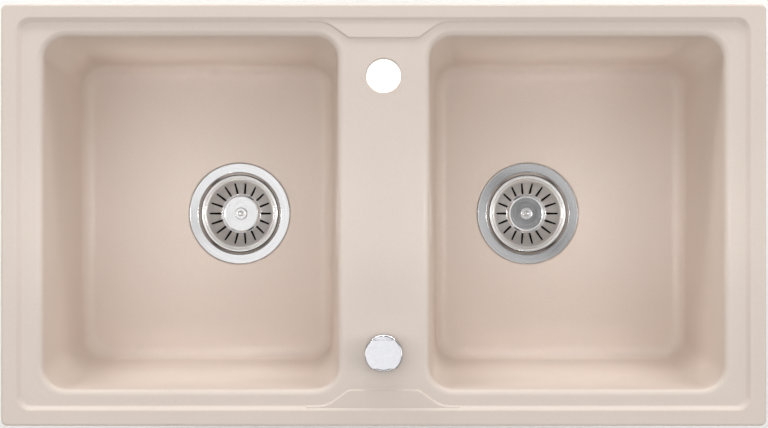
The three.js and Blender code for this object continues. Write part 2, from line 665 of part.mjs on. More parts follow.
function controlCover() {
  const top = CHAMBER.bottom - GAP;
  const bottom = top - COVER.thickness;
  const holes = [-1, 1].map((side) => (
    rod(COVER.screwShank + GAP, bottom - 1, top + 1, 8).translate(side * COVER.screwR, 0, 0)
  ));
  return cut(rod(CHAMBER.r, bottom, top, ROUND_HIDDEN), ...holes);
}

const CONTROL_FERRULE_START = 17;

function controlSet() {
  const deck = FIELD.z - DECK.under;
  const wallFront = Math.sqrt(CHAMBER.r ** 2 - DRUM.grooveR ** 2);
  const sleeve = ferrule(wallFront + 1 - CONTROL_FERRULE_START).translate(0, 0, CONTROL_FERRULE_START);
  const upperGasket = ring(CONTROL.holeR + 0.6, BEZEL.r - 0.7, GAP, BEZEL.bottom - GAP);
  const lowerGasket = ring(TUBE.r + 0.4, CHAMBER.r - 1.5, CHAMBER.top + GAP, -deck - GAP);
  const bush = ring(SPINDLE.r + GAP, TUBE.bore - GAP, CHAMBER.roof + 4, TUBE.top - 0.4, ROUND_SMALL);
  return groupAt(
    0, CONTROL.y, FIELD.z,
    piece('control_knob', controlKnob(), 'chrome'),
    piece('control_bezel', controlBezel(), 'chrome'),
    piece('control_upper_gasket', upperGasket, 'rubber'),
    piece('control_lower_gasket', lowerGasket, 'rubber'),
    piece('control_housing', controlHousing(), 'plastic'),
    piece('control_bush', bush, 'palePlastic'),
    piece('control_spindle', controlSpindle(), 'brass'),
    piece('control_drum', controlDrum(), 'palePlastic'),
    piece('control_drum_screw', drumScrew(), 'steel'),
    piece('control_cover', controlCover(), 'plastic'),
    piece('control_cover_screw_left', coverScrew(-1), 'steel'),
    piece('control_cover_screw_right', coverScrew(1), 'steel'),
    piece('control_cable_ferrule', layAlongY(sleeve, -DRUM.grooveR, CABLE_PORT_Z), 'brass'),
  );
}

// ---------------------------------------------------------------- cable

function cableSheath() {
  const end = FERRULE.length + GAP;
  const start = [-DRUM.grooveR, CONTROL.y + CONTROL_FERRULE_START + end, FIELD.z + CABLE_PORT_Z];
  const finish = [
    -WASTE.x + FERRULE_START + end, WASTE.y + WIRE.y, BOWL.floor + LEVER.z + WIRE.rise,
  ];
  const points = [start, ...CABLE_ROUTE, finish].map((point) => new THREE.Vector3(...point));
  const section = new THREE.Shape().absarc(0, 0, CABLE.r, 0, 2 * Math.PI);
  return new THREE.ExtrudeGeometry(section, {
    extrudePath: new THREE.CatmullRomCurve3(points),
    steps: CABLE.steps,
    curveSegments: CABLE.sides / 2,
  });
}

// ---------------------------------------------------------------- assembly

const sink = new THREE.Group();
sink.add(
  piece('sink_body', sinkBody(), 'composite'),
  piece('rim_seal', rimSeal(), 'rubber'),
  wasteSet(-1),
  wasteSet(1),
  controlSet(),
  piece('cable_sheath', cableSheath(), 'plastic'),
);

export default sink;
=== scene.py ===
# %% [markdown]
# # A composite kitchen sink with two bowls
#
# The real sink is moulded in one piece from crushed quartz and resin. It drops into a cut-out in the
# worktop and hangs there by its rim. Each bowl has a pressed steel waste with a lift-out basket, and a
# chromed knob on the deck opens one of the wastes through a cable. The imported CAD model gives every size
# and every moving body, so each piece here is drawn in the same place, in metres, and rides on the body
# that carries it.

# %% Load the frame
import math

import bmesh
import bpy
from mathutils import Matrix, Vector


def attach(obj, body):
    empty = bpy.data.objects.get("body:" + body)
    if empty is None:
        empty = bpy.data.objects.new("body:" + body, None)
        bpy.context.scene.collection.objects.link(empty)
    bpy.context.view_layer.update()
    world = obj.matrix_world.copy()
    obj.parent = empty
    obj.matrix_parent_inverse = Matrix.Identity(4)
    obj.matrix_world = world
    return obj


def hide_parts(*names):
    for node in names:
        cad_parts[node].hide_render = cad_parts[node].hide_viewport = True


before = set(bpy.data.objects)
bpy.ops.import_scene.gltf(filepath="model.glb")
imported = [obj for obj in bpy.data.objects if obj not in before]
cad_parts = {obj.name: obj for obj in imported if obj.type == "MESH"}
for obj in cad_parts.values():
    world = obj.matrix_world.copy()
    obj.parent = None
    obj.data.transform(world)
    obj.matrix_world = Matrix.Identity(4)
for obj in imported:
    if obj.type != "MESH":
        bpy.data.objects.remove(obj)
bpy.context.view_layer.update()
MM = 0.001

# %% [markdown]
# ## Helpers for modelling as by hand
#
# Every piece starts from a primitive and is shaped in edit mode. An operator acts on all that is selected,
# so the helpers below deselect first and then pick vertices, edges or faces by where they are.

# %% Picking and starting
def deselect():
    if bpy.context.mode != "OBJECT":
        bpy.ops.object.mode_set(mode="OBJECT")
    bpy.ops.object.select_all(action="DESELECT")


def only(piece):
    """Makes a piece the one that is selected and active, in object mode."""
    deselect()
    bpy.context.view_layer.objects.active = piece
    piece.select_set(True)


def edit(piece):
    """Opens a piece in edit mode with nothing in it selected."""
    only(piece)
    bpy.ops.object.mode_set(mode="EDIT")
    bpy.ops.mesh.select_all(action="DESELECT")


def pick(kind, test):
    """Selects each VERT, EDGE or FACE that passes a test of its middle. For an edge the test also gets the
    edge itself, and for a face its normal."""
    bpy.ops.mesh.select_mode(type=kind)
    bpy.ops.mesh.select_all(action="DESELECT")
    data = bpy.context.edit_object.data
    mesh = bmesh.from_edit_mesh(data)
    if kind == "VERT":
        chosen = [v for v in mesh.verts if test(v.co)]
    elif kind == "EDGE":
        chosen = [e for e in mesh.edges if test((e.verts[0].co + e.verts[1].co) / 2, e)]
    else:
        chosen = [f for f in mesh.faces if test(f.calc_center_median(), f.normal)]
    for part in chosen:
        part.select_set(True)
    mesh.select_flush_mode()
    bmesh.update_edit_mesh(data, loop_triangles=False, destructive=False)


def near(value, target, tolerance=2e-6):
    return abs(value - target) < tolerance


def newest(name):
    """Names the piece that the last operator made."""
    piece = bpy.context.active_object
    piece.name = piece.data.name = name
    return piece


def start(name):
    """An empty mesh at the origin, open in edit mode, for primitives to be added to."""
    deselect()
    bpy.ops.mesh.primitive_plane_add(size=1)
    piece = newest(name)
    bpy.ops.object.mode_set(mode="EDIT")
    bpy.ops.mesh.delete(type="VERT")
    return piece


def pick_all():
    bpy.ops.mesh.select_all(action="SELECT")


def round_off(radius, steps, kind="EDGES", **more):
    """Rounds the picked EDGES or VERTICES by a bevel of so many mm."""
    bpy.ops.mesh.bevel(offset=MM * radius, segments=steps, profile=0.5, affect=kind, **more)


def close(piece):
    """Faces all of the open piece outwards and leaves edit mode."""
    pick_all()
    bpy.ops.mesh.normals_make_consistent(inside=False)
    deselect()
    return piece


def settle(piece):
    """Works a piece's place, turn and size into its mesh."""
    only(piece)
    bpy.ops.object.transform_apply(location=True, rotation=True, scale=True)
    return piece


# %% [markdown]
# Two ways of making a solid cover most of the sink. A moulded shape is a stack of rounded rectangles, each
# a plane with its corners bevelled, bridged one to the next. A turned shape is half a section, drawn point
# by point from one vertex, with its corners bevelled round, and then spun about a vertical line.

# %% Stacked outlines and turned sections
ROUND_STEPS = 4  # facets in the rounding of one corner of a turned section
MERGE = 1e-6  # vertices nearer than this, in metres, are one


def add_outline(x0, x1, y0, y1, corner, z, steps):
    """A flat rounded rectangle of edges, in mm."""
    middle = (MM * (x0 + x1) / 2, MM * (y0 + y1) / 2, MM * z)
    bpy.ops.mesh.primitive_plane_add(size=1, location=middle)
    bpy.ops.transform.resize(value=(MM * (x1 - x0), MM * (y1 - y0), 1), center_override=middle)
    round_off(corner, steps, "VERTICES")
    bpy.ops.mesh.delete(type="ONLY_FACE")


def between(low, high):
    """A test for the edges whose ends lie at one of two heights."""
    return lambda middle, edge: all(near(v.co.z, low) or near(v.co.z, high) for v in edge.verts)


def stack(name, levels, steps):
    """A closed solid over outlines (x0, x1, y0, y1, corner, z) stacked from the lowest to the highest."""
    piece = start(name)
    for level in levels:
        add_outline(*level, steps)
    heights = [MM * level[-1] for level in levels]
    for low, high in zip(heights, heights[1:]):
        pick("EDGE", between(low, high))
        bpy.ops.mesh.bridge_edge_loops()
    for end in (heights[0], heights[-1]):
        pick("EDGE", between(end, end))
        bpy.ops.mesh.edge_face_add()
    return close(piece)


def add_turned(section, steps, at):
    """Spins a section of (radius, height) or (radius, height, corner cut) points, in mm, about a line up
    through at. A section that starts and ends on the line is left open there; any other is closed."""
    bpy.ops.mesh.select_mode(type="VERT")
    bpy.ops.mesh.select_all(action="DESELECT")
    data = bpy.context.edit_object.data
    before = len(bmesh.from_edit_mesh(data).verts)
    centre = [MM * value for value in at]
    points = [Vector((centre[0] + MM * p[0], centre[1], centre[2] + MM * p[1])) for p in section]

    def pick_drawn(places=None):
        bpy.ops.mesh.select_all(action="DESELECT")
        mesh = bmesh.from_edit_mesh(data)
        for vertex in list(mesh.verts)[before:]:
            if places is None or any((vertex.co - place).length < MERGE for place in places):
                vertex.select_set(True)
        mesh.select_flush(True)

    bpy.ops.mesh.primitive_plane_add(size=MM, location=points[0])
    bpy.ops.mesh.merge(type="CENTER")
    for last, point in zip(points, points[1:]):
        bpy.ops.mesh.extrude_vertices_move(TRANSFORM_OT_translate={"value": point - last})
    if section[0][0] > 0 or section[-1][0] > 0:
        pick_drawn([points[0], points[-1]])
        bpy.ops.mesh.edge_face_add()
    for corner in sorted({p[2] for p in section if len(p) > 2}):
        pick_drawn([point for point, p in zip(points, section) if len(p) > 2 and p[2] == corner])
        round_off(corner, ROUND_STEPS, "VERTICES")
    pick_drawn()
    bpy.ops.mesh.spin(steps=steps, angle=math.tau, center=centre, axis=(0, 0, 1))
    pick_all()
    bpy.ops.mesh.remove_doubles(threshold=MERGE)


def turned(name, section, steps, at=(0, 0, 0)):
    piece = start(name)
    add_turned(section, steps, at)
    return close(piece)


# %% [markdown]
# Holes and joints between solids are Boolean modifiers, applied at once, with the exact solver. The cutter
# is a piece of its own and goes away with the cut.

# %% Cutting, joining, handing over
PAST = 1  # how far a cutter stands past what it cuts, in mm


def combine(piece, others, operation):
    for other in others:
        only(piece)
        bpy.ops.object.modifier_add(type="BOOLEAN")
        modifier = piece.modifiers[-1]
        modifier.object = other
        modifier.operation = operation
        modifier.solver = "EXACT"
        bpy.ops.object.modifier_apply(modifier=modifier.name)
        bpy.data.objects.remove(other)
    return piece


def cut(piece, *others):
    return combine(piece, others, "DIFFERENCE")


def join(piece, *others):
    return combine(piece, others, "UNION")


def take(piece, body, node, material, angle=30):
    """Welds a piece, faces it outwards, smooths it up to an angle in degrees and hands it to the frame."""
    edit(piece)
    pick_all()
    bpy.ops.mesh.remove_doubles(threshold=MERGE)
    settle(close(piece))
    bpy.ops.object.shade_smooth_by_angle(angle=math.radians(angle))
    bpy.ops.object.modifier_add(type="WEIGHTED_NORMAL")
    piece.modifiers[-1].keep_sharp = True
    bpy.ops.object.modifier_apply(modifier=piece.modifiers[-1].name)
    piece.data.materials.clear()
    piece.data.materials.append(material)
    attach(piece, body)
    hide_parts(node)
    print(f"{piece.name}: {len(piece.data.polygons)} faces, rides on {body}")


# %% [markdown]
# ## Finishes
#
# A material is a small tree of nodes. One function turns a colour as a screen shows it to the linear value
# that a shader wants, and one adds a node with its settings and links. Patterns read Object coordinates,
# which are metres on every piece, so a grain of half a millimetre is a scale of 2000.

# %% Node helpers
def colour(code):
    """#rrggbb as a screen shows it, to linear RGBA."""
    channels = [int(code[i:i + 2], 16) / 255 for i in (1, 3, 5)]
    return [c / 12.92 if c <= 0.04045 else ((c + 0.055) / 1.055) ** 2.4 for c in channels] + [1.0]


def connect(node, inputs):
    """Sets or links each input of a node, named or by number."""
    for name, value in inputs.items():
        if isinstance(value, bpy.types.NodeSocket):
            node.id_data.links.new(value, node.inputs[name])
        else:
            node.inputs[name].default_value = value


def add(tree, kind, inputs, **settings):
    """Adds a shader node of a kind, with its own settings and its inputs."""
    node = tree.nodes.new("ShaderNode" + kind)
    for name, value in settings.items():
        setattr(node, name, value)
    connect(node, inputs)
    return node


def new_material(name):
    """A material with a plain shader, and the Object coordinates its patterns read."""
    material = bpy.data.materials.new(name)
    material.use_nodes = True
    tree = material.node_tree
    return material, tree, tree.nodes["Principled BSDF"], add(tree, "TexCoord", {}).outputs["Object"]


def noise(tree, place, size, detail, **more):
    """Noise with features of about size mm."""
    inputs = {"Vector": place, "Scale": 1 / (size * MM), "Detail": detail, **more}
    return add(tree, "TexNoise", inputs).outputs["Fac"]


def ramp(tree, pattern, *stops):
    """A pattern as a run of colours over (position, #rrggbb) stops."""
    node = add(tree, "ValToRGB", {"Fac": pattern})
    elements = node.color_ramp.elements
    while len(elements) < len(stops):
        elements.new(0.5)
    for element, (position, code) in zip(elements, stops):
        element.position = position
        element.color = colour(code)
    return node.outputs["Color"]


def stretch(tree, pattern, low, high, begin=0.3, end=0.7):
    """A pattern's values from begin to end, stretched over low to high."""
    limits = {"From Min": begin, "From Max": end, "To Min": low, "To Max": high}
    return add(tree, "MapRange", {"Value": pattern, **limits}).outputs["Result"]


def times(tree, vector, factor):
    return add(tree, "VectorMath", {0: vector, "Scale": factor}, operation="SCALE").outputs[0]


def relief(tree, pattern, strength, height):
    """A normal for bumps up to height mm."""
    inputs = {"Strength": strength, "Distance": height * MM, "Height": pattern}
    return add(tree, "Bump", inputs).outputs["Normal"]


# %% [markdown]
# The sink is quartz composite: about four fifths crushed quartz in acrylic resin, coloured through and
# moulded against a finely blasted tool. That gives the eye a soft, even sheen, no mirror at all, and a very
# fine grain of paler and darker grit. Real grit is 0.1 to 0.6 mm, finer than one pixel of the picture, so
# the coarsest of it is drawn at 1.3 mm to show at all.

# %% Quartz composite
GRIT, FINE_GRIT, CLOUD = 1.3, 0.5, 60  # the sizes of its patterns, in mm
COMPOSITE = {"dark": "#dfd0c4", "base": "#e2d4c9", "pale": "#e4d7cc"}


def quartz_composite():
    material, tree, shader, place = new_material("quartz_composite_matt_moulded")
    grit = noise(tree, place, GRIT, 3.0, Roughness=0.65)
    cloud = noise(tree, place, CLOUD, 2.0)
    fine = noise(tree, place, FINE_GRIT, 2.0)
    body = ramp(tree, grit, (0.30, COMPOSITE["dark"]), (0.5, COMPOSITE["base"]), (0.72, COMPOSITE["pale"]))
    connect(shader, {
        "Base Color": times(tree, body, stretch(tree, cloud, 0.994, 1.006)),
        "Roughness": stretch(tree, grit, 0.31, 0.41, 0, 1),
        "IOR": 1.5,
        "Normal": relief(tree, fine, 0.2, 0.02),
    })
    return material


composite = quartz_composite()
print("finish:", composite.name)

# %% [markdown]
# ## The sink
#
# The mould gives every wall a lean and every edge a rounding. The outer skin is three kinds of block
# joined: the rim, the deck that drops into the worktop's cut-out, and a bowl on each side. The shape that
# you wash up in is then cut away by solids of the air inside it. That way each wall is drawn once, at its
# real draft.

# %% The sink's outer skin
RIM = {"x": 390, "y": 215, "corner": 6.5, "under": 1.8, "top": 10, "edge": 2.5}
DECK = {"x": 377, "y": 203, "corner": 12, "under": -4, "top": 5}
BOWL = {"inner": 47, "outer": 348, "front": -177.6, "back": 182.7, "corner": 24, "lip": 7, "floor": -170}
DRAFT = {"x": 10, "y": 15}
FILLET = {"x": 15, "y": 16, "z": 16, "corner": 27, "floor_corner": 20}
WALL, FLOOR_THICKNESS = 10, 11
FIELD = {"z": 6, "x": 375, "front": -200, "back": 202, "corner": 14, "slope": 6}
STEPS = 8  # facets across one rounding of the sink
BLOCK_TOP = DECK["top"] - 1  # where the bowls' blocks end, inside the deck


def bowl_outline(side, inset_x, inset_y, corner, z):
    inner, outer = BOWL["inner"] + inset_x, BOWL["outer"] - inset_x
    x0, x1 = (inner, outer) if side > 0 else (-outer, -inner)
    return x0, x1, BOWL["front"] + inset_y, BOWL["back"] - inset_y, corner, z


def bowl_foot(side, wall):
    """The rounding from a bowl's floor up into its walls, on a skin wall mm outside the inner one."""
    levels = []
    depth = FILLET["z"] + (FLOOR_THICKNESS if wall else 0)
    for step in range(STEPS, -1, -1):
        angle = math.pi / 2 * step / STEPS
        sweep = 1 - math.cos(angle)
        corner = FILLET["corner"] + (FILLET["floor_corner"] - FILLET["corner"]) * sweep + wall * (1 - sweep)
        inset_x = DRAFT["x"] - wall + (FILLET["x"] + wall) * sweep
        inset_y = DRAFT["y"] - wall + (FILLET["y"] + wall) * sweep
        z = BOWL["floor"] + FILLET["z"] - depth * math.sin(angle)
        levels.append(bowl_outline(side, inset_x, inset_y, corner, z))
    return levels


def upright(middle, edge):
    return abs(edge.verts[0].co.z - edge.verts[1].co.z) > MM


def slab(name, size, under, top):
    """A block with its upright edges bevelled round."""
    deselect()
    bpy.ops.mesh.primitive_cube_add(size=1, location=(0, 0, MM * (under + top) / 2))
    piece = newest(name)
    bpy.ops.transform.resize(value=(2 * MM * size["x"], 2 * MM * size["y"], MM * (top - under)))
    edit(settle(piece))
    pick("EDGE", upright)
    round_off(size["corner"], STEPS)
    return piece


rim = slab("sink_moulding", RIM, RIM["under"], RIM["top"])
pick("EDGE", between(MM * RIM["top"], MM * RIM["top"]))
round_off(RIM["edge"], STEPS)
deck = slab("deck", DECK, DECK["under"], DECK["top"])
bowls = []
for side in (-1, 1):
    rim_level = bowl_outline(side, -WALL, -WALL, BOWL["corner"] + WALL, BLOCK_TOP)
    bowls.append(stack("bowl_outside", bowl_foot(side, WALL) + [rim_level], STEPS))
sink = join(rim, deck, *bowls)
print("outer skin:", len(sink.data.polygons), "faces, box in mm", [round(v / MM, 1) for v in sink.dimensions])

# %% [markdown]
# The field is 4 mm lower than the rim, and the slope between them is an S in section, as a mould leaves it.
# In the middle of the back and the front a platform stands half way up. Its slanted ends run out into the
# slope in a curve, so its outline is drawn flat first: a band, cut at two places, whose middle is pulled
# out and narrowed, with its corners bevelled. Insetting that face upwards in small steps gives the platform
# its own soft slope.

# %% The recess and its two platforms
PLATFORM = {"z": 8, "foot": 3, "reach": 16.4, "half_edge": 36.2, "half_root": 59, "band": 80, "beyond": 12,
            "tip_bend": 3, "root_bend": 8}
# the inset and the rise of each step of the platform's slope
PLATFORM_SLOPE = [(0.45, 0.15), (0.45, 0.45), (0.5, 0.8), (0.45, 0.45), (0.45, 0.15)]
ABOVE_RIM = RIM["top"] + 2  # where the solids of air end, in mm


def smooth(t):
    return t * t * (3 - 2 * t)


recess_levels = []
for step in range(STEPS + 1):
    t = step / STEPS
    inset = FIELD["slope"] * (1 - t)
    recess_levels.append((-FIELD["x"] + inset, FIELD["x"] - inset,
                          FIELD["front"] + inset, FIELD["back"] - inset, FIELD["corner"] - inset / 2,
                          FIELD["z"] + (RIM["top"] - FIELD["z"]) * smooth(t)))
recess_levels.append((*recess_levels[-1][:5], ABOVE_RIM))
recess = stack("recess", recess_levels, STEPS)


def platform(side):
    """The platform at the back (side 1) or the front (side -1)."""
    step_y = MM * (FIELD["back"] - FIELD["slope"] if side > 0 else FIELD["front"] + FIELD["slope"])
    foot, reach = MM * PLATFORM["foot"], MM * PLATFORM["reach"]
    half_edge, half_root = MM * PLATFORM["half_edge"], MM * PLATFORM["half_root"]
    edge_y = step_y - side * reach
    piece = start("platform")
    beyond = side * MM * PLATFORM["beyond"]
    middle = (0, step_y + beyond / 2, foot)
    bpy.ops.mesh.primitive_plane_add(size=1, location=middle)
    bpy.ops.transform.resize(value=(2 * MM * PLATFORM["band"], abs(beyond), 1), center_override=middle)
    for x in (-half_root, half_root):
        pick_all()
        bpy.ops.mesh.bisect(plane_co=(x, 0, 0), plane_no=(1, 0, 0))
    pick("EDGE", lambda mid, edge: near(mid.y, step_y) and near(mid.x, 0))
    bpy.ops.mesh.extrude_region_move(TRANSFORM_OT_translate={"value": (0, -side * reach, 0)})
    bpy.ops.transform.resize(value=(half_edge / half_root, 1, 1), center_override=(0, edge_y, foot))
    pick_all()
    bpy.ops.mesh.dissolve_limited(angle_limit=math.radians(1))
    for half, y, bend in ((half_edge, edge_y, "tip_bend"), (half_root, step_y, "root_bend")):
        pick("VERT", lambda place: near(abs(place.x), half) and near(place.y, y))
        round_off(PLATFORM[bend], STEPS, "VERTICES")
    bpy.ops.mesh.select_mode(type="FACE")
    pick_all()
    bpy.ops.mesh.normals_make_consistent(inside=False)
    mesh = bmesh.from_edit_mesh(piece.data)
    if next(iter(mesh.faces)).normal.z < 0:
        bpy.ops.mesh.flip_normals()
    rise = MM * (PLATFORM["z"] - sum(step[1] for step in PLATFORM_SLOPE)) - foot
    bpy.ops.mesh.extrude_region_move(TRANSFORM_OT_translate={"value": (0, 0, rise)})
    for inset, up in PLATFORM_SLOPE:
        bpy.ops.mesh.inset(thickness=MM * inset, depth=MM * up, use_boundary=True, use_even_offset=True)
    bpy.ops.mesh.select_all(action="DESELECT")
    bpy.ops.mesh.select_mode(type="EDGE")
    bpy.ops.mesh.select_non_manifold()
    bpy.ops.mesh.edge_face_add()
    return close(piece)


sink = cut(sink, recess)
sink = join(sink, platform(1), platform(-1))
print("with its recess:", len(sink.data.polygons), "faces")

# %% [markdown]
# Each bowl is the solid of the air in it: up from the floor's rounding along the leaning walls, and out
# over the lip in a quarter circle that ends level with the field. A waste hole has a seat round it for the
# steel flange. The tap hole is drilled right through and is left open, as in the picture.

# %% The bowls and the holes
TURN_STEPS = 128  # facets round the large rings that show
WASTE = {"x": 162, "y": 1.5, "seat_r": 57.3, "seat": 2.4, "hole_r": 46, "bevel": 0.5}
TAP_HOLE = {"y": 142.4, "r": 17.5, "bevel": 0.8}
CONTROL = {"y": -140.7, "hole_r": 15}
LIP_TOP = 0.02  # how far the lip's rounding overshoots the field, so that they cross cleanly
DRILL = {"low": -12, "high": 14}  # the ends of what drills the deck

for side in (-1, 1):
    levels = bowl_foot(side, 0)
    for step in range(STEPS + 1):
        angle = math.pi / 2 * step / STEPS
        grow = BOWL["lip"] * (1 - math.cos(angle))
        z = FIELD["z"] + LIP_TOP - BOWL["lip"] * (1 - math.sin(angle))
        levels.append(bowl_outline(side, -grow, -grow, BOWL["corner"] + grow, z))
    levels.append((*levels[-1][:5], ABOVE_RIM))
    air = stack("bowl_air", levels, STEPS)
    floor = BOWL["floor"]
    low, high, seat_z = floor - 2 * FLOOR_THICKNESS, floor + 2, floor - WASTE["seat"]
    wide_r = WASTE["seat_r"] + WASTE["bevel"]
    drill = [(0, low), (WASTE["hole_r"], low), (WASTE["hole_r"], seat_z), (WASTE["seat_r"], seat_z),
             (WASTE["seat_r"], floor - 0.4), (wide_r, floor + 0.1), (wide_r, high), (0, high)]
    hole = turned("waste_hole", drill, TURN_STEPS, (side * WASTE["x"], WASTE["y"], 0))
    sink = cut(sink, air, hole)
wide_r = TAP_HOLE["r"] + TAP_HOLE["bevel"]
tap_drill = [(0, DRILL["low"]), (TAP_HOLE["r"], DRILL["low"]), (TAP_HOLE["r"], FIELD["z"] - 0.7),
             (wide_r, FIELD["z"] + 0.1), (wide_r, DRILL["high"]), (0, DRILL["high"])]
control_drill = [(0, DRILL["low"]), (CONTROL["hole_r"], DRILL["low"]), (CONTROL["hole_r"], DRILL["high"]),
                 (0, DRILL["high"])]
sink = cut(sink, turned("tap_drill", tap_drill, TURN_STEPS, (0, TAP_HOLE["y"], 0)),
           turned("control_drill", control_drill, 64, (0, CONTROL["y"], 0)))
take(sink, "sink", "sink_body", composite, angle=28)

# %% [markdown]
# ## The wastes
#
# Each waste is stainless steel polished on a lathe, so its scratches run in circles round the middle of the
# bowl's drain. That gives the eye rings of fine lines, and highlights that spread outwards from the middle
# like a bow tie. The pattern therefore reads the way out from the nearer drain: how far, for the rings, and
# which way, for the spread.

# %% Steel brushed in circles
def out_from_drain(tree, place):
    """How far a place lies from the nearer drain, and the flat direction to it."""
    parts = add(tree, "SeparateXYZ", {"Vector": place}).outputs
    side = add(tree, "Math", {0: parts["X"]}, operation="SIGN").outputs[0]
    middle_x = add(tree, "Math", {0: side, 1: MM * WASTE["x"]}, operation="MULTIPLY").outputs[0]
    middle = add(tree, "CombineXYZ", {"X": middle_x, "Y": MM * WASTE["y"]}).outputs[0]
    spoke = add(tree, "VectorMath", {0: place, 1: middle}, operation="SUBTRACT").outputs[0]
    level = add(tree, "VectorMath", {0: spoke, 1: (1, 1, 0)}, operation="MULTIPLY").outputs[0]
    radius = add(tree, "VectorMath", {0: level}, operation="LENGTH").outputs["Value"]
    way = add(tree, "VectorMath", {0: level}, operation="NORMALIZE").outputs[0]
    return radius, way


def ring_noise(tree, radius, way, pitch, turns, detail):
    """Noise that changes quickly on the way out, every pitch mm, and slowly on the way round."""
    rings = add(tree, "Math", {0: radius, 1: 1 / (pitch * MM)}, operation="MULTIPLY").outputs[0]
    outwards = add(tree, "CombineXYZ", {"Z": rings}).outputs[0]
    where = add(tree, "VectorMath", {0: times(tree, way, turns), 1: outwards}, operation="ADD").outputs[0]
    return add(tree, "TexNoise", {"Vector": where, "Scale": 1.0, "Detail": detail}).outputs["Fac"]


def brushed_steel(name, dark, pale, roughness, spread):
    """Steel with ring scratches between two colours, its roughness over the same rings, and how far
    highlights are drawn out across the rings."""
    material, tree, shader, place = new_material(name)
    radius, way = out_from_drain(tree, place)
    scratch = ring_noise(tree, radius, way, 0.5, 1.6, 3.0)
    band = ring_noise(tree, radius, way, 2.6, 0.7, 2.0)
    body = ramp(tree, scratch, (0.3, dark), (0.7, pale))
    connect(shader, {
        "Base Color": times(tree, body, stretch(tree, band, 0.97, 1.02)),
        "Metallic": 1.0,
        "Roughness": stretch(tree, band, *roughness),
        "Anisotropic": spread,
        "Tangent": way,
        "Normal": relief(tree, scratch, 0.05, 0.01),
    })
    return material


# %% [markdown]
# The other finishes of the wastes and the works below are plainer: two near colours in a fine grain, a
# roughness that runs between two values over the same grain, and a slight relief.

# %% Plain finishes
def grained(name, dark, pale, grain, roughness, height=0.0, metallic=0.0):
    """A finish with a grain in mm, and a relief of so many mm."""
    material, tree, shader, place = new_material(name)
    pattern = noise(tree, place, grain, 3.0)
    body = ramp(tree, pattern, (0.32, dark), (0.68, pale))
    gloss = stretch(tree, pattern, *roughness)
    connect(shader, {"Base Color": body, "Roughness": gloss, "Metallic": metallic})
    if height:
        connect(shader, {"Normal": relief(tree, pattern, 0.3, height)})
    return material


# Stainless steel polished on a lathe: bright, nearly a mirror, with fine rings.
steel = brushed_steel("stainless_steel_brushed_in_circles", "#cbcacb", "#d8d8d9", (0.1, 0.13), 0.3)
# The strainer's steep wall and rolled rim, which the polishing wheel does not reach: silvery and dull.
satin = brushed_steel("stainless_steel_drawn_satin", "#d3d1cf", "#dfdedc", (0.42, 0.5), 0.4)
# The same steel down in the cup, where nobody polishes it: dull, and painted nearly black as the shade that
# lies in the cup under the strainer's slots.
cup_steel_painted_dark = brushed_steel("stainless_steel_dull_painted_dark_as_shade", "#1d1c1b", "#282624", (0.6, 0.72), 0.2)
# EPDM rubber: nearly black and dull, with a dusty grey bloom.
rubber = grained("epdm_rubber_matt", "#232324", "#323233", 4.0, (0.68, 0.85), 0.03)
# Natural acetal: milky white, slightly see-through to the eye, with a soft gloss from the mould.
acetal = grained("acetal_natural_moulded", "#cfcdc6", "#dcdad3", 9.0, (0.36, 0.48))
# Polypropylene moulded in a spark-eroded tool: black, even, half matt.
polypropylene = grained("polypropylene_black_moulded", "#232427", "#2d2e31", 0.8, (0.45, 0.58), 0.02)
# Stainless steel as turned or drawn for screws and pins: bright, with no direction that the eye can find.
turned_steel = grained("stainless_steel_turned", "#b9babc", "#cfd0d1", 0.7, (0.22, 0.34), metallic=1.0)
# Brass as it comes off the lathe: warm yellow, bright, not lacquered.
brass = grained("brass_turned_bare", "#b3945a", "#c7a96c", 1.2, (0.24, 0.36), metallic=1.0)
finishes = (steel, satin, cup_steel_painted_dark, rubber, acetal, polypropylene, turned_steel, brass)
print("finishes:", ", ".join(finish.name for finish in finishes))

# %% [markdown]
# The waste flange is pressed from one sheet of steel: a flat ring that lies in the seat, a rolled mouth,
# and a cup below it with a hole for the centre bolt and six for the water. Its section is drawn once round
# the sheet, with each bend rounded, and spun. Heights in a waste are counted from the bowl's floor.

# %% The flange
LEFT = (-WASTE["x"], WASTE["y"], BOWL["floor"])
FLANGE_SECTION = [
    (6, -31.7), (35.4, -31.7, 1.6), (39.3, -27.9, 1.6), (44.9, -9, 1.5), (45.7, -1.9, 0.4), (46.8, -0.6, 0.4),
    (56.5, -0.6, 0.2), (56.5, 0.6, 0.7), (55.4, 0.6), (47.6, 0.6), (46.4, 0.6, 0.5), (45.6, -1.0, 0.4),
    (43.7, -2.0, 0.4), (43.2, -4.5, 0.6), (42.9, -8, 1.5), (38, -27.5, 1.4), (35, -30.5, 1.4), (6, -30.5),
]
CUP_HOLES = {"count": 6, "r": 4.2, "pitch_r": 15}
# below this depth the cup's steel is painted dark as shade, as well as left dull
PAINTED_SHADE_BELOW = 6  # mm below the bowl's floor, where the polish ends
FIXED = ("sink", "sink")


def beside(at, x=0, y=0, z=0):
    return at[0] + x, at[1] + y, at[2] + z


def rod(name, start_at, end_at, r, steps=48, at=(0, 0, 0)):
    """A cylinder between two places, in mm out from at, that differ along one axis only."""
    first, last = Vector(beside(at, *start_at)), Vector(beside(at, *end_at))
    run = last - first
    deselect()
    bpy.ops.mesh.primitive_cylinder_add(vertices=steps, radius=MM * r, depth=MM * run.length,
                                        location=MM * (first + last) / 2,
                                        rotation=run.to_track_quat("Z", "Y").to_euler())
    return settle(newest(name))


def bar(name, low, high, at=(0, 0, 0)):
    """A block between two corners, in mm out from at."""
    low, high = Vector(beside(at, *low)), Vector(beside(at, *high))
    deselect()
    bpy.ops.mesh.primitive_cube_add(size=1, location=MM * (low + high) / 2)
    bpy.ops.transform.resize(value=MM * (high - low))
    return settle(newest(name))


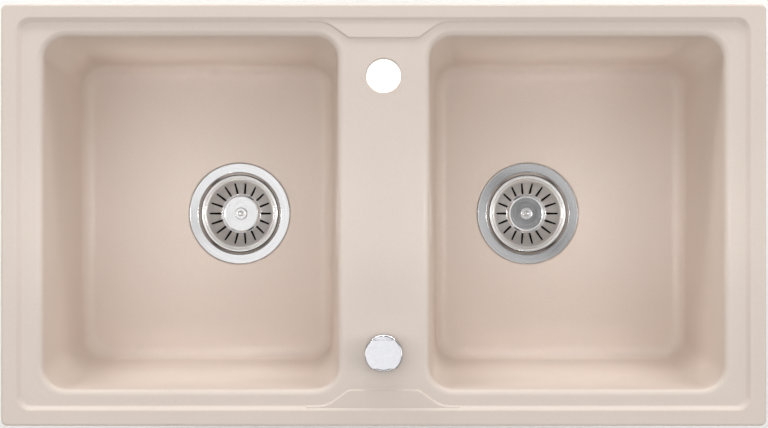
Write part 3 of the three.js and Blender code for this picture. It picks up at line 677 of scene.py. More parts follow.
def repeat_round(piece, count, at):
    """Repeats a piece in a ring of count about the upright line through at."""
    edit(piece)
    pick_all()
    bpy.ops.mesh.spin(steps=count - 1, dupli=True, angle=math.tau * (count - 1) / count,
                      center=[MM * value for value in at], axis=(0, 0, 1))
    deselect()
    return piece


def take_both(piece, name, node, bodies, material):
    """Hands over the left bowl's piece, and a copy of it with its own mesh for the right bowl."""
    only(piece)
    bpy.ops.object.duplicate_move(OBJECT_OT_duplicate={"linked": False},
                                  TRANSFORM_OT_translate={"value": (2 * MM * WASTE["x"], 0, 0)})
    twin = bpy.context.active_object
    for side, body, each in (("left", bodies[0], piece), ("right", bodies[1], twin)):
        each.name = each.data.name = f"{side}_{name}"
        take(each, body, f"{side}_{node}", material)


def refinish_both(name, material, test):
    """Gives the faces that pass a test, on the left bowl's piece and the right one's, another material."""
    for side in ("left", "right"):
        piece = bpy.data.objects[f"{side}_{name}"]
        piece.data.materials.append(material)
        edit(piece)
        pick("FACE", test)
        piece.active_material_index = 1
        bpy.ops.object.material_slot_assign()
        deselect()


flange = turned("flange", FLANGE_SECTION, TURN_STEPS, LEFT)
drain = rod("drain", (CUP_HOLES["pitch_r"], 0, -34), (CUP_HOLES["pitch_r"], 0, -28), CUP_HOLES["r"], at=LEFT)
flange = cut(flange, repeat_round(drain, CUP_HOLES["count"], LEFT))
take_both(flange, "drain_flange", "waste_flange", FIXED, steel)
# The flange's cup below that depth takes the steel painted dark as shade.
refinish_both("drain_flange", cup_steel_painted_dark, lambda middle, normal: middle.z < MM * (BOWL["floor"] - PAINTED_SHADE_BELOW))

# %% [markdown]
# The basket is a dished sheet. From the outside in it has a rolled rim with a fine step, a steep wall with
# eighteen slots, a narrow crease, and a flat disc with a soft edge. A slot is a little wider at its inner
# end, where the die lets go last. One slot's cutter is a plane, narrowed at one end, with its corners
# rounded and pulled up, and then it is repeated round the middle. Last, what slopes from the disc's edge up
# to the rim is given a duller steel.

# %% The basket
BASKETS = ("left_strainer", "right_strainer")
BASKET_SECTION = [
    (3, -20, 0.2), (17.8, -20), (18.8, -20, 0.9), (21.4, -21, 0.35), (22.2, -21.3, 0.3), (27.9, -16.2, 2.5),
    (33.6, -8.3, 2.5), (36.5, -2.9, 1.1), (38.6, -1.9, 0.3), (39.3, -2.0, 0.2), (40, -1.15, 0.35),
    (42.2, -0.6, 0.5), (43, -1.3, 0.3), (42.6, -2.1, 0.2), (40.2, -2.3), (38.9, -3.1), (37.3, -3.9, 1),
    (34.5, -9, 2.2), (28.7, -17.1, 2.2), (22.3, -22.15, 0.4), (20.6, -21.6, 0.3), (18.6, -21, 0.8),
    (3, -21, 0.2),
]
SLOT = {"count": 18, "inner_r": 22.4, "outer_r": 34.8, "inner_width": 2.6, "outer_width": 1.9, "low": -24,
        "high": -3, "rounding": 0.48}
# heights over the bowl's floor, and the upward share of the normal from which a face lies nearly level
DISH_WALL = {"top": 5, "foot": -20.5, "level": 0.985}


def is_dish_wall(middle, normal):
    """Passes the faces between two heights that do not lie nearly level."""
    foot, top = [MM * (BOWL["floor"] + DISH_WALL[end]) for end in ("foot", "top")]
    return normal.z < DISH_WALL["level"] and foot < middle.z < top


basket = turned("basket", BASKET_SECTION, TURN_STEPS, LEFT)
slots = start("slots")
slot_middle = [MM * value for value in beside(LEFT, (SLOT["inner_r"] + SLOT["outer_r"]) / 2, 0, SLOT["low"])]
bpy.ops.mesh.primitive_plane_add(size=1, location=slot_middle)
bpy.ops.transform.resize(value=(MM * (SLOT["outer_r"] - SLOT["inner_r"]), MM * SLOT["outer_width"], 1),
                         center_override=slot_middle)
pick("VERT", lambda place: place.x < slot_middle[0])
bpy.ops.transform.resize(value=(1, SLOT["inner_width"] / SLOT["outer_width"], 1), center_override=slot_middle)
pick_all()
round_off(SLOT["rounding"] * SLOT["outer_width"], 5, "VERTICES")
bpy.ops.mesh.select_mode(type="FACE")
pick_all()
bpy.ops.mesh.extrude_region_move(TRANSFORM_OT_translate={"value": (0, 0, MM * (SLOT["high"] - SLOT["low"]))})
close(slots)
basket = cut(basket, repeat_round(slots, SLOT["count"], LEFT))
take_both(basket, "strainer_dish", "basket", BASKETS, steel)
refinish_both("strainer_dish", satin, is_dish_wall)

# %% [markdown]
# The basket's knob is turned from bar, with a ball on top to lift it by, and its stem goes down through the
# disc. Below it a rubber seal closes on the cup when the basket is down, and a nut on the stem holds the
# seal.

# %% The basket's knob, seal and nut
KNOB_SECTION = [
    (0, -40), (2.6, -40, 0.5), (2.6, -19.7), (4, -19.7, 0.2), (4, -17.7, 0.5), (6.6, -16.2, 0.4),
    (7, -15.2, 0.4),
    (6, -14.4, 0.4), (3.2, -14.6, 0.3), (2.5, -13.9, 0.3), (2.75, -13.1, 0.3), (1.6, -12.5, 0.5), (0, -12.5),
]
SEAL_SECTION = [
    (6, -21.3), (16.5, -21.3, 1), (19, -23.3, 1), (25.5, -28.8, 0.7), (25.5, -30.2, 0.3), (23.7, -30.2, 0.3),
    (18.4, -25.1, 1), (15.8, -23.3, 1), (6, -23.3),
]
CHAMFER = 0.6  # how much of a nut's corner height is turned down


def hex_nut(name, across_flats, bore, low, high, at=(0, 0, 0)):
    """A nut with its corners turned down at both ends, up the Z axis."""
    flat_r, corner_r = across_flats / 2, across_flats / math.sqrt(3)
    fall = (corner_r - flat_r) * CHAMFER
    wide_r = corner_r + 0.1
    turn = [(0, low), (flat_r, low), (wide_r, low + fall), (wide_r, high - fall), (flat_r, high), (0, high)]
    blank = rod(name, (0, 0, low), (0, 0, high), corner_r, 6, at)
    blank = combine(blank, [turned("chamfer", turn, 48, at)], "INTERSECT")
    return cut(blank, rod("bore", (0, 0, low - PAST), (0, 0, high + PAST), bore, 32, at))


knob = turned("knob", KNOB_SECTION, 64, LEFT)
take_both(knob, "strainer_knob", "basket_knob", BASKETS, steel)
take_both(turned("seal", SEAL_SECTION, 96, LEFT), "strainer_seal", "basket_seal", BASKETS, rubber)
seal_nut = hex_nut("nut", 20, 2.9, -26.6, -23.6, LEFT)
take_both(seal_nut, "strainer_nut", "seal_retainer", BASKETS, acetal)

# %% [markdown]
# A flat gasket lies under the flange's ring, and a thicker one between the sink's underside and the cup
# below. A hollow bolt down the middle pulls the flange and the cup together. Its head has a coin slot.

# %% Gaskets and centre bolt
BOLT_SECTION = [
    (3.2, -46, 0.3), (5.7, -46, 0.6), (5.7, -30.2), (8.5, -30.2, 0.2), (8.5, -27.2, 0.7), (3.2, -27.2, 0.3),
]


def gasket(name, r_in, r_out, low, high, at, corner=0.25):
    """A flat ring of rubber or plastic, 96 facets round."""
    ring = [(r_in, low, corner), (r_out, low, corner), (r_out, high, corner), (r_in, high, corner)]
    return turned(name, ring, 96, at)


thin = gasket("gasket", 47.6, 55, -2.1, -0.9, LEFT)
take_both(thin, "flange_gasket", "flange_seal", FIXED, rubber)
thick = gasket("gasket", 46.8, 56, -14.3, -11.3, LEFT)
take_both(thick, "cup_gasket", "body_seal", FIXED, rubber)
bolt = turned("bolt", BOLT_SECTION, 64, LEFT)
bolt = cut(bolt, bar("coin_slot", (-10, -1.2, -28.6), (10, 1.2, -26), LEFT))
take_both(bolt, "centre_bolt", "clamp_bolt", FIXED, turned_steel)

# %% [markdown]
# ## The control
#
# The knob on the deck is brass, polished and chrome plated. The plate is a cool mirror with a little haze,
# so it is bright where it faces the light panels and shows dark lines at its edges. Its grip has two flats
# for the fingers. It turns a quarter of a turn, with the spindle and drum below it.

# %% Knob and its base
# Satin chrome plate: a cool mirror with a little haze, so that what it reflects has soft edges.
chrome = grained("chrome_plate_satin", "#d0d0d4", "#d8d8dc", 6.0, (0.11, 0.15), metallic=1.0)
AT_CONTROL = (0, CONTROL["y"], FIELD["z"])
GRIP = {"r": 19, "flat": 14, "bottom": 7.4, "top": 24, "round": 1.2, "bore_r": 4.3, "bore_top": 20.3,
        "flat_round": 1.0}
GRIP_CUTTER = {"reach": 25, "high": 30}
GRIP_SECTION = [
    (0, GRIP["bottom"]), (GRIP["r"], GRIP["bottom"], 0.5), (GRIP["r"], GRIP["top"], GRIP["round"]),
    (GRIP["r"] - GRIP["round"] - 0.5, GRIP["top"]), (0, GRIP["top"]),
]
BASE_SECTION = [
    (14.5, 1.6, 0.2), (19.3, 1.6, 0.3), (19.3, 7, 3.2), (8.2, 7, 0.4), (8.2, 5), (14.5, 5),
]


def round_a_flat(middle, edge):
    """Passes the edges that bound one of the grip's two flats."""
    return all(near(abs(v.co.y - MM * AT_CONTROL[1]), MM * GRIP["flat"], 1e-5) for v in edge.verts)


grip = turned("knob_grip", GRIP_SECTION, TURN_STEPS, AT_CONTROL)
for side in (-1, 1):
    near_y, far_y = sorted((side * GRIP["flat"], side * GRIP_CUTTER["reach"]))
    grip = cut(grip, bar("flat", (-GRIP_CUTTER["reach"], near_y, 0),
                         (GRIP_CUTTER["reach"], far_y, GRIP_CUTTER["high"]), AT_CONTROL))
edit(grip)
pick("EDGE", round_a_flat)
round_off(GRIP["flat_round"], 4, clamp_overlap=True)
deselect()
grip = cut(grip, rod("bore", (0, 0, 5), (0, 0, GRIP["bore_top"]), GRIP["bore_r"], at=AT_CONTROL))
take(grip, "control", "control_knob", chrome, angle=35)
base_ring = turned("control_base_ring", BASE_SECTION, TURN_STEPS, AT_CONTROL)
take(base_ring, "sink", "control_bezel", chrome)

# %% [markdown]
# Under the deck the housing's tube comes up through the hole, with a rubber gasket above the deck and one
# below it. Inside, a bush guides the spindle, and a small drum on its end winds the cable. A cover with two
# screws closes the housing from below.

# %% Under the deck
HOUSING_SECTION = [
    (8, -16), (18, -16, 1), (18, -36, 0.3), (22, -36, 0.4), (22, -13, 1.2), (14.2, -13, 0.5),
    (14.2, 4.6, 0.5), (8, 4.6, 0.5),
]
DRUM_SECTION = [
    (4.3, -31, 0.2), (9, -31, 0.3), (9, -29.5, 0.3), (5.1, -29.5, 0.3), (5.1, -24.5, 0.3), (9, -24.5, 0.3),
    (9, -23, 0.3), (4.3, -23, 0.2),
]
LID_SECTION = [(0, -39.3), (22, -39.3, 0.6), (22, -36.3, 0.3), (0, -36.3)]
CABLE_PORT = {"x": -5.1, "z": -27, "r": 3.5}
SCREW = {"x": 20, "hole_r": 1.3}
CROSS = {"deep": 0.9, "half_width": 0.3, "reach": 0.6}  # reach is a share of the head's radius


def screw_head_down(name, seat, shank, length, head_r, head, at):
    """A pan head screw whose shank points up from its seat, with a crossed recess in its head."""
    section = [(0, seat - head), (head_r, seat - head, min(0.6, head / 3)), (head_r, seat), (shank, seat),
               (shank, seat + length, 0.2), (0, seat + length)]
    screw = turned(name, section, 48, at)
    arm, half = head_r * CROSS["reach"], CROSS["half_width"]
    low, high = seat - head - PAST, seat - head + CROSS["deep"]
    for x, y in ((arm, half), (half, arm)):
        screw = cut(screw, bar("recess", (-x, -y, low), (x, y, high), at))
    return screw


def with_screw_holes(piece, low, high):
    """Drills the holes of the cover's two screws between two heights."""
    holes = [rod("screw_hole", (side * SCREW["x"], 0, low), (side * SCREW["x"], 0, high), SCREW["hole_r"], 24,
                 AT_CONTROL) for side in (-1, 1)]
    return cut(piece, *holes)


port_x, port_z = CABLE_PORT["x"], CABLE_PORT["z"]
housing = turned("control_cup", HOUSING_SECTION, 96, AT_CONTROL)
port = rod("port", (port_x, 15, port_z), (port_x, 24, port_z), CABLE_PORT["r"], at=AT_CONTROL)
housing = cut(housing, port)
take(with_screw_holes(housing, -37, -28), "sink", "control_housing", polypropylene)
lid = turned("control_lid", LID_SECTION, 96, AT_CONTROL)
take(with_screw_holes(lid, -41, -35), "sink", "control_cover", polypropylene)
for side, name in ((-1, "left"), (1, "right")):
    screw = screw_head_down(f"lid_screw_{name}", -39.6, 1, 8, 1.9, 1.5, beside(AT_CONTROL, side * SCREW["x"]))
    take(screw, "sink", f"control_cover_screw_{name}", turned_steel)

upper = gasket("deck_gasket_upper", 15.6, 18.6, 0.3, 1.3, AT_CONTROL)
take(upper, "sink", "control_upper_gasket", rubber)
lower = gasket("deck_gasket_lower", 14.6, 20.5, -12.7, -10.3, AT_CONTROL)
take(lower, "sink", "control_lower_gasket", rubber)
bush = gasket("spindle_bush", 4.3, 7.7, -12, 4.2, AT_CONTROL, 0.3)
take(bush, "sink", "control_bush", acetal)
drum = turned("cable_drum", DRUM_SECTION, 96, AT_CONTROL)
take(drum, "control", "control_drum", acetal)
spindle = rod("knob_spindle", (0, 0, -30.7), (0, 0, 20), 4, at=AT_CONTROL)
spindle = cut(spindle, rod("bore", (0, 0, -32), (0, 0, -22.7), 1.5, 24, AT_CONTROL))
take(spindle, "control", "control_spindle", brass)
drum_screw = screw_head_down("cable_drum_screw", -31.3, 1.2, 7, 6, 2.5, AT_CONTROL)
take(drum_screw, "control", "control_drum_screw", turned_steel)

# %% [markdown]
# ## Under the sink
#
# A soft strip lies under the rim. Below each bowl hangs a moulded cup: it takes the flange's bolt in a hub
# on four ribs and goes on down as a threaded outlet for the trap. The thread is a single ridge that climbs
# one pitch in each turn.

# %% The rim's strip and the cups
STRIP = {"outer": 2.5, "inner": 10.5, "low": 0, "high": 1.5, "bevel": 0.35}
CUP_SECTION = [
    (20.5, -92, 0.4), (23.1, -92, 0.8), (23.1, -73, 0.4), (26, -73, 0.8), (26, -39, 2), (49, -39, 3),
    (49, -18.6, 1), (56, -18.6, 0.7), (56, -14.6, 0.5), (46, -14.6, 0.6), (46, -36, 2.5), (20.5, -36, 1.2),
]
THREAD = {"root_r": 22.9, "crest_r": 23.9, "pitch": 2.31, "low": -91.2, "turns": 7, "steps": 64, "sunk": 0.3,
          "blunt": 0.1}
HUB = {"r": 9.5, "bore": 6, "top": -32, "end": -46, "rib": 3, "reach": 22}


def rim_frame(name, inset, low, high):
    size = {"x": RIM["x"] - inset, "y": RIM["y"] - inset, "corner": RIM["corner"]}
    return slab(name, size, low, high)


strip = rim_frame("rim_strip", STRIP["outer"], STRIP["low"], STRIP["high"])
strip = cut(strip, rim_frame("hollow", STRIP["inner"], STRIP["low"] - PAST, STRIP["high"] + PAST))
edit(strip)
pick("EDGE", lambda middle, edge: abs(edge.verts[0].co.z - edge.verts[1].co.z) < MERGE)
round_off(STRIP["bevel"], 2)
take(strip, "sink", "rim_seal", rubber)


def thread(name, at):
    """A ridge of triangular section wound up a cylinder."""
    piece = start(name)
    root, crest = MM * THREAD["root_r"] - THREAD["sunk"] * MM, MM * THREAD["crest_r"]
    blunt, pitch = crest - THREAD["blunt"] * MM, MM * THREAD["pitch"]
    centre = [MM * value for value in at]
    low = centre[2] + MM * THREAD["low"]
    corners = [(root, low), (blunt, low + 0.46 * pitch), (crest, low + 0.5 * pitch),
               (blunt, low + 0.54 * pitch), (root, low + 0.98 * pitch)]
    bpy.ops.mesh.primitive_plane_add(size=MM, location=(centre[0] + corners[0][0], centre[1], corners[0][1]))
    bpy.ops.mesh.merge(type="CENTER")
    for (r0, z0), (r1, z1) in zip(corners, corners[1:]):
        bpy.ops.mesh.extrude_vertices_move(TRANSFORM_OT_translate={"value": (r1 - r0, 0, z1 - z0)})
    pick_all()
    bpy.ops.mesh.edge_face_add()
    pick_all()
    for turn in range(THREAD["turns"] * THREAD["steps"]):
        bpy.ops.mesh.extrude_region_move(TRANSFORM_OT_translate={"value": (0, 0, pitch / THREAD["steps"])})
        bpy.ops.transform.rotate(value=math.tau / THREAD["steps"], orient_axis="Z", center_override=centre)
    return close(piece)


def cup(name):
    piece = turned(name, CUP_SECTION, 96, LEFT)
    hub = rod("hub", (0, 0, HUB["end"]), (0, 0, HUB["top"]), HUB["r"], 64, LEFT)
    ribs = [bar("rib", (-x, -y, HUB["end"]), (x, y, -36), LEFT)
            for x, y in ((HUB["reach"], HUB["rib"] / 2), (HUB["rib"] / 2, HUB["reach"]))]
    piece = join(piece, hub, *ribs, thread("thread", LEFT))
    low, high = HUB["end"] - PAST, HUB["top"] + PAST
    return cut(piece, rod("hub_bore", (0, 0, low), (0, 0, high), HUB["bore"], at=LEFT))


right_cup = cup("right_drain_cup")
right_cup.location = (2 * MM * WASTE["x"], 0, 0)
take(right_cup, "sink", "right_waste_body", polypropylene)

# %% [markdown]
# The left cup also carries the lift works. A lever's shaft goes in through a boss in the cup's neck, and
# its finger pushes a pin up the hollow bolt, which lifts the basket. Outside, the cable pulls a crank on
# the shaft. The cable's sleeve sits in a bracket that hangs from the cup.

# %% The left cup
LEVER = {"x": 15, "z": -61, "r": 2.5, "end": 5, "out": -37.4, "tilt": 15, "finger": 17, "width": 5,
         "height": 4}
BOSS = {"r": 6, "end": -30, "root": -10, "bore_r": 2.9, "seal_r": 4.6, "seal_depth": 3.2}
BRACKET = {"near": 58, "far": 62, "half": 6.5, "foot": -53, "arm": 25, "port_r": 3.5}
WIRE = {"y": -39.4, "z": LEVER["z"] + 14.75, "r": 0.9, "end": 57}
ON_SHAFT = beside(LEFT, LEVER["x"], 0, LEVER["z"])
AT_BRACKET = beside(LEFT, 0, WIRE["y"])

boss = rod("boss", (0, BOSS["end"], 0), (0, BOSS["root"], 0), BOSS["r"], at=ON_SHAFT)
boss = cut(boss, rod("way", (0, 0, -95), (0, 0, -46.5), 20.5, 96, LEFT))
arm = bar("arm", (BRACKET["arm"], -BRACKET["half"], -39), (BRACKET["far"], BRACKET["half"], -33), AT_BRACKET)
arm = cut(arm, rod("well", (0, 0, -36), (0, 0, -14), 47.5, 96, LEFT))
bracket = bar("bracket", (BRACKET["near"], -BRACKET["half"], BRACKET["foot"]),
              (BRACKET["far"], BRACKET["half"], -36), AT_BRACKET)
left_cup = join(cup("left_drain_cup"), boss, arm, bracket)
boss_front, seal_end = BOSS["end"] - PAST, BOSS["end"] + BOSS["seal_depth"]
shaft_bore = rod("shaft_bore", (0, boss_front, 0), (0, -8, 0), BOSS["bore_r"], at=ON_SHAFT)
seal_bore = rod("seal_bore", (0, boss_front, 0), (0, seal_end, 0), BOSS["seal_r"], at=ON_SHAFT)
wire_port = rod("wire_port", (BRACKET["near"] - PAST, 0, WIRE["z"]),
                (BRACKET["far"] + PAST, 0, WIRE["z"]), BRACKET["port_r"], at=AT_BRACKET)
left_cup = cut(left_cup, shaft_bore, seal_bore, wire_port)
take(left_cup, "sink", "left_waste_body", polypropylene)

# %% [markdown]
# The lever works are drawn at rest, with the valve shut, so the lever's finger and its crank stand tilted.
# The seal, the gland and the crank's screw are made up the Z axis and then laid along the shaft.

# %% The lift works
PIN_SECTION = [(0, -62.3), (1, -62.3, 0.3), (2.6, -60.3, 0.5), (2.6, -40.3, 0.4), (0, -40.3)]
GLAND_SECTION = [(2.9, -3.5, 0.3), (8, -3.5, 0.8), (8, 3.7, 0.4), (6.3, 3.7, 0.3), (6.3, -0.3), (2.9, -0.3)]


def lay(piece, axis, at):
    """Lays a piece that was made up the Z axis along +X or +Y, with its foot at a place in mm."""
    piece.rotation_euler = (0, math.pi / 2, 0) if axis == "X" else (-math.pi / 2, 0, 0)
    piece.location = MM * Vector(at)
    return settle(piece)


def tilt(piece):
    """Turns a piece about the lever's shaft to the place where the valve is shut."""
    edit(piece)
    pick_all()
    bpy.ops.transform.rotate(value=math.radians(LEVER["tilt"]), orient_axis="Y",
                             center_override=MM * Vector(ON_SHAFT))
    deselect()
    return piece


take(turned("lift_rod", PIN_SECTION, 48, LEFT), "left_pin", "left_lift_pin", turned_steel)
finger = bar("finger", (-LEVER["finger"], -LEVER["width"] / 2, -LEVER["height"] / 2),
             (0, LEVER["width"] / 2, LEVER["height"] / 2), ON_SHAFT)
edit(finger)
pick("EDGE", lambda middle, edge: near(middle.x, MM * (ON_SHAFT[0] - LEVER["finger"])))
round_off(0.8, 3)
shaft = rod("lift_rocker", (0, LEVER["out"], 0), (0, LEVER["end"], 0), LEVER["r"], at=ON_SHAFT)
lever = join(shaft, tilt(finger))
lever = cut(lever, rod("bore", (0, LEVER["out"] - PAST, 0), (0, LEVER["out"] + 8, 0), 1.3, 24, ON_SHAFT))
take(lever, "left_lever", "left_lift_lever", turned_steel)

boss_end = beside(ON_SHAFT, 0, BOSS["end"])
o_ring = lay(gasket("shaft_o_ring", 2.9, 4.3, 0.3, 2.9, (0, 0, 0), 0.5), "Y", boss_end)
take(o_ring, "sink", "left_shaft_seal", rubber)
gland = lay(turned("gland_cap", GLAND_SECTION, 64), "Y", boss_end)
take(gland, "sink", "left_shaft_gland", acetal)

# %% [markdown]
# The crank is a flat plate with two round ends: a wide one on the shaft and a narrow one, slotted, for the
# pin of the pull wire. Its outline is a plane, narrowed at the top, with its corners rounded.

# %% Crank and pull wire
CRANK = {"near": -34.1, "thickness": 3, "hub_r": 5.5, "arm_r": 4.5, "reach": 15, "slot_r": 2,
         "slot_half": 0.8}
# how much of its radius the crank's end, and the slot's end, is bevelled by
NEARLY_ROUND, NEARLY_CLOSED = 0.97, 0.99
WIRE_BLOCK = {"half": 3, "front": -41.4, "pin_r": 1.5, "gap": 0.3}

crank_back, crank_front = CRANK["near"], CRANK["near"] - CRANK["thickness"]
height = CRANK["reach"] + CRANK["arm_r"] + CRANK["hub_r"]
crank = start("crank_plate")
rise = (CRANK["reach"] + CRANK["arm_r"] - CRANK["hub_r"]) / 2
crank_middle = MM * Vector(beside(ON_SHAFT, 0, crank_front, rise))
bpy.ops.mesh.primitive_plane_add(size=1, location=crank_middle, rotation=(math.pi / 2, 0, 0))
bpy.ops.transform.resize(value=(2 * MM * CRANK["hub_r"], 1, MM * height), center_override=crank_middle)
pick("VERT", lambda place: place.z > crank_middle.z)
bpy.ops.transform.resize(value=(CRANK["arm_r"] / CRANK["hub_r"], 1, 1), center_override=crank_middle)
for end, r in ((1, CRANK["arm_r"]), (-1, CRANK["hub_r"])):
    pick("VERT", lambda place: end * (place.z - crank_middle.z) > MM * (height / 2 - 0.5))
    round_off(NEARLY_ROUND * r, 10, "VERTICES")
bpy.ops.mesh.select_mode(type="FACE")
pick_all()
bpy.ops.mesh.extrude_region_move(TRANSFORM_OT_translate={"value": (0, MM * CRANK["thickness"], 0)})
close(crank)

slot_r, slot_end = CRANK["slot_r"], CRANK["slot_half"] + CRANK["slot_r"]
slot_box = bar("slot_box", (-slot_r, crank_front - PAST, CRANK["reach"] - slot_end),
               (slot_r, crank_back + PAST, CRANK["reach"] + slot_end), ON_SHAFT)
edit(slot_box)
pick("EDGE", lambda middle, edge: near(edge.verts[0].co.x, edge.verts[1].co.x)
     and near(edge.verts[0].co.z, edge.verts[1].co.z))
round_off(NEARLY_CLOSED * slot_r, STEPS)
shaft_hole = rod("shaft_hole", (0, crank_front - PAST, 0), (0, crank_back + PAST, 0), 2.8, at=ON_SHAFT)
take(tilt(cut(crank, slot_box, shaft_hole)), "left_lever", "left_crank", acetal)
crank_screw = screw_head_down("crank_bolt", 0, 1, 7, 4, 2.6, (0, 0, 0))
crank_screw = lay(crank_screw, "Y", beside(ON_SHAFT, 0, LEVER["out"] - 0.3))
take(crank_screw, "left_lever", "left_crank_screw", turned_steel)

pin_x = LEVER["x"] - (WIRE["z"] - LEVER["z"]) * math.tan(math.radians(LEVER["tilt"]))
at_pin = beside(LEFT, pin_x, 0, WIRE["z"])
half, gap = WIRE_BLOCK["half"], WIRE_BLOCK["gap"]
block = bar("wire_block", (-half, WIRE_BLOCK["front"], -half), (half, crank_front - gap, half), at_pin)
edit(block)
pick_all()
round_off(0.5, 2)
wire_pin = rod("pin", (0, WIRE["y"], 0), (0, crank_back + gap, 0), WIRE_BLOCK["pin_r"], 32, at_pin)
wire_end = beside(LEFT, WIRE["end"], WIRE["y"], WIRE["z"])
wire = rod("wire", beside(at_pin, 0, WIRE["y"]), wire_end, WIRE["r"], 24)
take(join(block, wire_pin, wire), "left_wire", "left_pull_wire", turned_steel)

# %% [markdown]
# The cable's sheath ends in a threaded sleeve with a collar at each end. Between them it runs down between
# the bowls and out to the left waste, on the same route as in the CAD model.

# %% Sleeves, nut and cable
SLEEVE = {"r_in": 1.4, "r_out": 3.2, "length": 18, "collar_r": 5, "collar": 3.2}
SLEEVE_START = {"waste": 54, "control": 17}
GAP = 0.3  # between the ends of two parts that meet, in mm
CABLE_R = 2.5
CABLE_ROUTE = [  # in mm
    (-5.1, -92, -21), (-5.1, -72, -26), (-5.1, -56, -41), (-5.1, -46, -64), (-5.1, -40, -95),
    (-5.4, -38.2, -130), (-8, -37.9, -160), (-17, -37.9, -187), (-35, -37.9, -206), (-58, -37.9, -214.6),
    (-76, -37.9, -216.25),
]


def sleeve(name, collar_at):
    r_in, r_out, collar_r = SLEEVE["r_in"], SLEEVE["r_out"], SLEEVE["collar_r"]
    collar_end = collar_at + SLEEVE["collar"]
    section = [(r_in, 0, 0.2), (r_out, 0, 0.3), (r_out, collar_at), (collar_r, collar_at, 0.4),
               (collar_r, collar_end, 0.4), (r_out, collar_end), (r_out, SLEEVE["length"], 0.3),
               (r_in, SLEEVE["length"], 0.2)]
    return turned(name, section, 48)


def along_wire(x):
    """A place on the wire's line, x mm from the left waste's middle."""
    return beside(LEFT, x, WIRE["y"], WIRE["z"])


waste_sleeve = sleeve("cable_sleeve_waste", BRACKET["far"] + GAP - SLEEVE_START["waste"])
waste_sleeve = lay(waste_sleeve, "X", along_wire(SLEEVE_START["waste"]))
take(waste_sleeve, "sink", "left_cable_ferrule", brass)
sleeve_nut = lay(hex_nut("cable_sleeve_nut", 10, 3.5, 0, 3.2), "X", along_wire(SLEEVE_START["waste"] + 0.5))
take(sleeve_nut, "sink", "left_ferrule_nut", brass)
housing_wall = math.sqrt(22 ** 2 - CABLE_PORT["x"] ** 2)
sleeve_foot = beside(AT_CONTROL, CABLE_PORT["x"], SLEEVE_START["control"], CABLE_PORT["z"])
control_sleeve = sleeve("cable_sleeve_control", housing_wall + 1 - SLEEVE_START["control"])
take(lay(control_sleeve, "Y", sleeve_foot), "sink", "control_cable_ferrule", brass)

cable_start = beside(sleeve_foot, 0, SLEEVE["length"] + GAP)
cable_end = along_wire(SLEEVE_START["waste"] + SLEEVE["length"] + GAP)
route = [MM * Vector(place) for place in [cable_start, *CABLE_ROUTE, cable_end]]
deselect()
bpy.ops.curve.primitive_bezier_curve_add()
cable = newest("cable_jacket")
cable.data.dimensions = "3D"
spline = cable.data.splines[0]
spline.bezier_points.add(len(route) - 2)
for knot, place in zip(spline.bezier_points, route):
    knot.co = place
    knot.handle_left_type = knot.handle_right_type = "AUTO"
cable.data.resolution_u = 10
cable.data.bevel_depth = MM * CABLE_R
cable.data.bevel_resolution = 6
cable.data.use_fill_caps = True
bpy.ops.object.convert(target="MESH")
# PVC: the cable's black jacket, smooth and half glossy from the die that it was drawn through.
jacket = grained("pvc_cable_jacket_extruded", "#2c2d30", "#37383b", 1.5, (0.32, 0.42))
take(bpy.context.active_object, "sink", "cable_sheath", jacket, angle=40)
print("cable length in mm:", round(sum((b - a).length for a, b in zip(route, route[1:])) / MM))

# %% [markdown]
# ## The picture
#
# The photograph looks straight down on the sink's middle, on a white ground that shows through the tap
# hole. The floor is a plain pale card.

# %% The floor
FLOOR_Z = -262.3 * MM
FLOOR_SIZE = 16  # in metres


def matt_white_card():
    material, tree, shader, place = new_material("matt_white_card")
    body = ramp(tree, noise(tree, place, 3, 2.0), (0.3, "#f4f3f1"), (0.7, "#f9f8f6"))
    connect(shader, {"Base Color": body, "Roughness": 0.9})
    connect(shader, {"Emission Color": (1, 1, 1, 1), "Emission Strength": 0.12})
    return material


deselect()
bpy.ops.mesh.primitive_plane_add(size=FLOOR_SIZE, location=(0, 0, FLOOR_Z))
floor_card = newest("floor_card")
floor_card.data.materials.append(matt_white_card())

# %% [markdown]
# Soft panels stand low round the sink, the strongest at the back, so the bowls' front walls are bright and
# their back walls are in shade. A small one higher at the back casts the knob's shadow forwards. Two panels
# hang overhead for the metal to reflect: a bright one over the left half and a dim one over the right,
# which is why one strainer looks white and the other grey. Small grey cards under them darken one
# strainer's disc and a stretch of each ring. Narrow beams reach down into the bowls, and a lamp under the
# deck whitens the ground that the tap hole shows.

# %% Lights
REACH = 2.2  # how far the panels stand from the sink, in metres
PANEL_AIM = (0, 0, -0.05)
# name: azimuth from the back, clockwise from above, elevation, size in metres, power in watts
PANELS = {
    "back_low_panel": (0, 8, (2.2, 0.25), 6.1),
    "back_panel": (0, 14, (2.2, 0.25), 9.0),
    "back_left_panel": (-35, 14, (1.2, 0.25), 11.0),
    "back_right_panel": (35, 14, (1.2, 0.25), 8.6),
    "back_key": (0, 30, (0.4, 0.25), 4.4),
    "front_panel": (180, 16, (1.8, 0.3), 7.6),
    "left_low_panel": (-90, 20, (0.9, 0.9), 2.5),
    "left_panel": (-90, 45, (0.9, 1.1), 4.2),
    "right_low_panel": (90, 20, (0.9, 0.9), 4.9),
    "right_panel": (90, 45, (0.9, 1.1), 7.4),
}
# name: place, size and power of what hangs overhead
OVERHEAD = {
    "bright_overhead": ((-1.03, 0, 2.6), (2.34, 3.6), 33.5),
    "dim_overhead": ((1.17, 0, 2.6), (2.06, 3.6), 18.4),
}
# name: radius and place of the grey cards under the overhead lamps, in metres
CARDS = {
    "card_over_right_disc": (0.085, (0.397, 0.002, 2.58)),
    "card_over_right_ring_back": (0.043, (0.307, 0.092, 2.57)),
    "card_over_right_ring_front": (0.047, (0.487, -0.088, 2.57)),
    "card_over_left_ring": (0.042, (-0.522, -0.03, 2.57)),
}
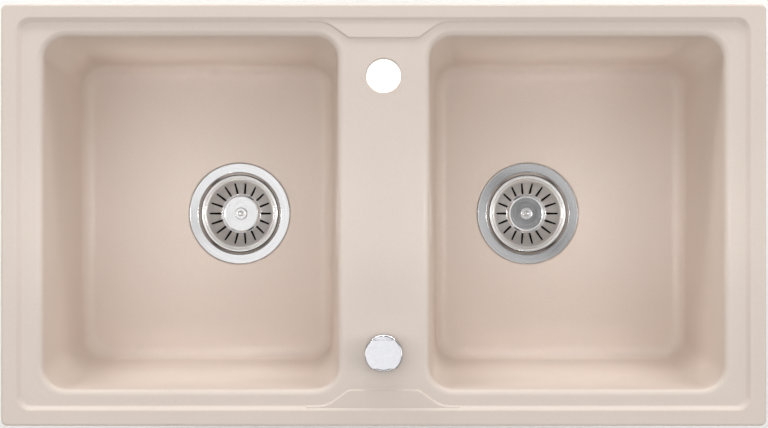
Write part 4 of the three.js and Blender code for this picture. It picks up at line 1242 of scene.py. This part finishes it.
# name: where a beam starts and where it ends, both out from the bowl's middle, its size, power and spread.
# Out is away from the sink's middle in x and towards the back in y.
BEAMS = {
    "beam_on_back_wall": ((0, -1.1, 1.2), (0, 0.14, -0.08), (0.2, 0.06), 0.016, 5),
    "beam_on_front_wall": ((0, 1.1, 1.2), (0, -0.14, -0.08), (0.2, 0.06), 0.037, 5),
    "beam_on_outer_wall": ((-0.45, 0, 1.3), (0.08, 0, -0.12), (0.1, 0.26), 0.014, 8),
    "beam_on_inner_wall": ((0.45, 0, 1.3), (-0.09, 0, -0.12), (0.1, 0.26), 0.010, 8),
    "beam_on_floor": ((0, -0.75, 1.3), (0, 0.01, -0.17), (0.2, 0.2), 0.003, 5),
}
# place, aim, size, power and spread of the lamp under the tap hole
UNDER_LAMP = ((0, MM * TAP_HOLE["y"], -0.03), (0, 0.165, -0.262), (0.04, 0.04), 0.03, 30)


def lamp(name, place, aim, size, power, spread=180):
    """A soft rectangular panel at a place, facing a point, both in metres, with its spread in degrees."""
    data = bpy.data.lights.new(name, "AREA")
    data.shape = "RECTANGLE"
    data.size, data.size_y = size
    data.energy = power
    data.spread = math.radians(spread)
    panel = bpy.data.objects.new(name, data)
    panel.location = place
    panel.rotation_euler = (Vector(aim) - Vector(place)).to_track_quat("-Z", "Y").to_euler()
    bpy.context.scene.collection.objects.link(panel)


for name, (azimuth, elevation, size, power) in PANELS.items():
    turn, rise = math.radians(azimuth), math.radians(elevation)
    place = (REACH * math.sin(turn) * math.cos(rise), REACH * math.cos(turn) * math.cos(rise),
             REACH * math.sin(rise))
    lamp(name, place, PANEL_AIM, size, power)
for name, (place, size, power) in OVERHEAD.items():
    lamp(name, place, (place[0], place[1], 0), size, power)
middle_x = MM * (BOWL["inner"] + BOWL["outer"]) / 2
for side in (-1, 1):
    for name, (begin, end, size, power, spread) in BEAMS.items():
        lamp(name, *[(side * (middle_x + x), y, z) for x, y, z in (begin, end)], size, power, spread)
# The steel mirrors these cards to the camera: one darkens the right strainer's middle, and the others a
# stretch of a ring each.
grey_card = grained("matt_grey_card", "#383838", "#404040", 3.0, (0.8, 0.9))
for name, (radius, place) in CARDS.items():
    deselect()
    bpy.ops.mesh.primitive_circle_add(vertices=64, radius=radius, fill_type="NGON", location=place)
    card = newest(name)
    card.data.materials.append(grey_card)
lamp("under_lamp", *UNDER_LAMP)

world = bpy.data.worlds.new("pale_studio")
world.use_nodes = True
connect(world.node_tree.nodes["Background"], {"Color": colour("#f4f4f6"), "Strength": 0.02})
bpy.context.scene.world = world
bpy.context.scene.view_settings.view_transform = "Standard"
print("lights:", len(PANELS) + len(OVERHEAD) + 2 * len(BEAMS) + 1, "lamps,", len(CARDS), "grey cards")

# %% [markdown]
# The camera hangs above the sink's middle, as high as the photograph's was: the bowls' floors are as much
# smaller than their openings as they are there.

# %% Camera
SENSOR = 36.0
LENS = 78.9
CAMERA_HEIGHT = 1.724
eye = bpy.data.cameras.new("camera")
eye.sensor_width, eye.lens = SENSOR, LENS
camera = bpy.data.objects.new("camera", eye)
camera.location = (0.00036, 0.001, CAMERA_HEIGHT)
bpy.context.scene.collection.objects.link(camera)
bpy.context.scene.camera = camera
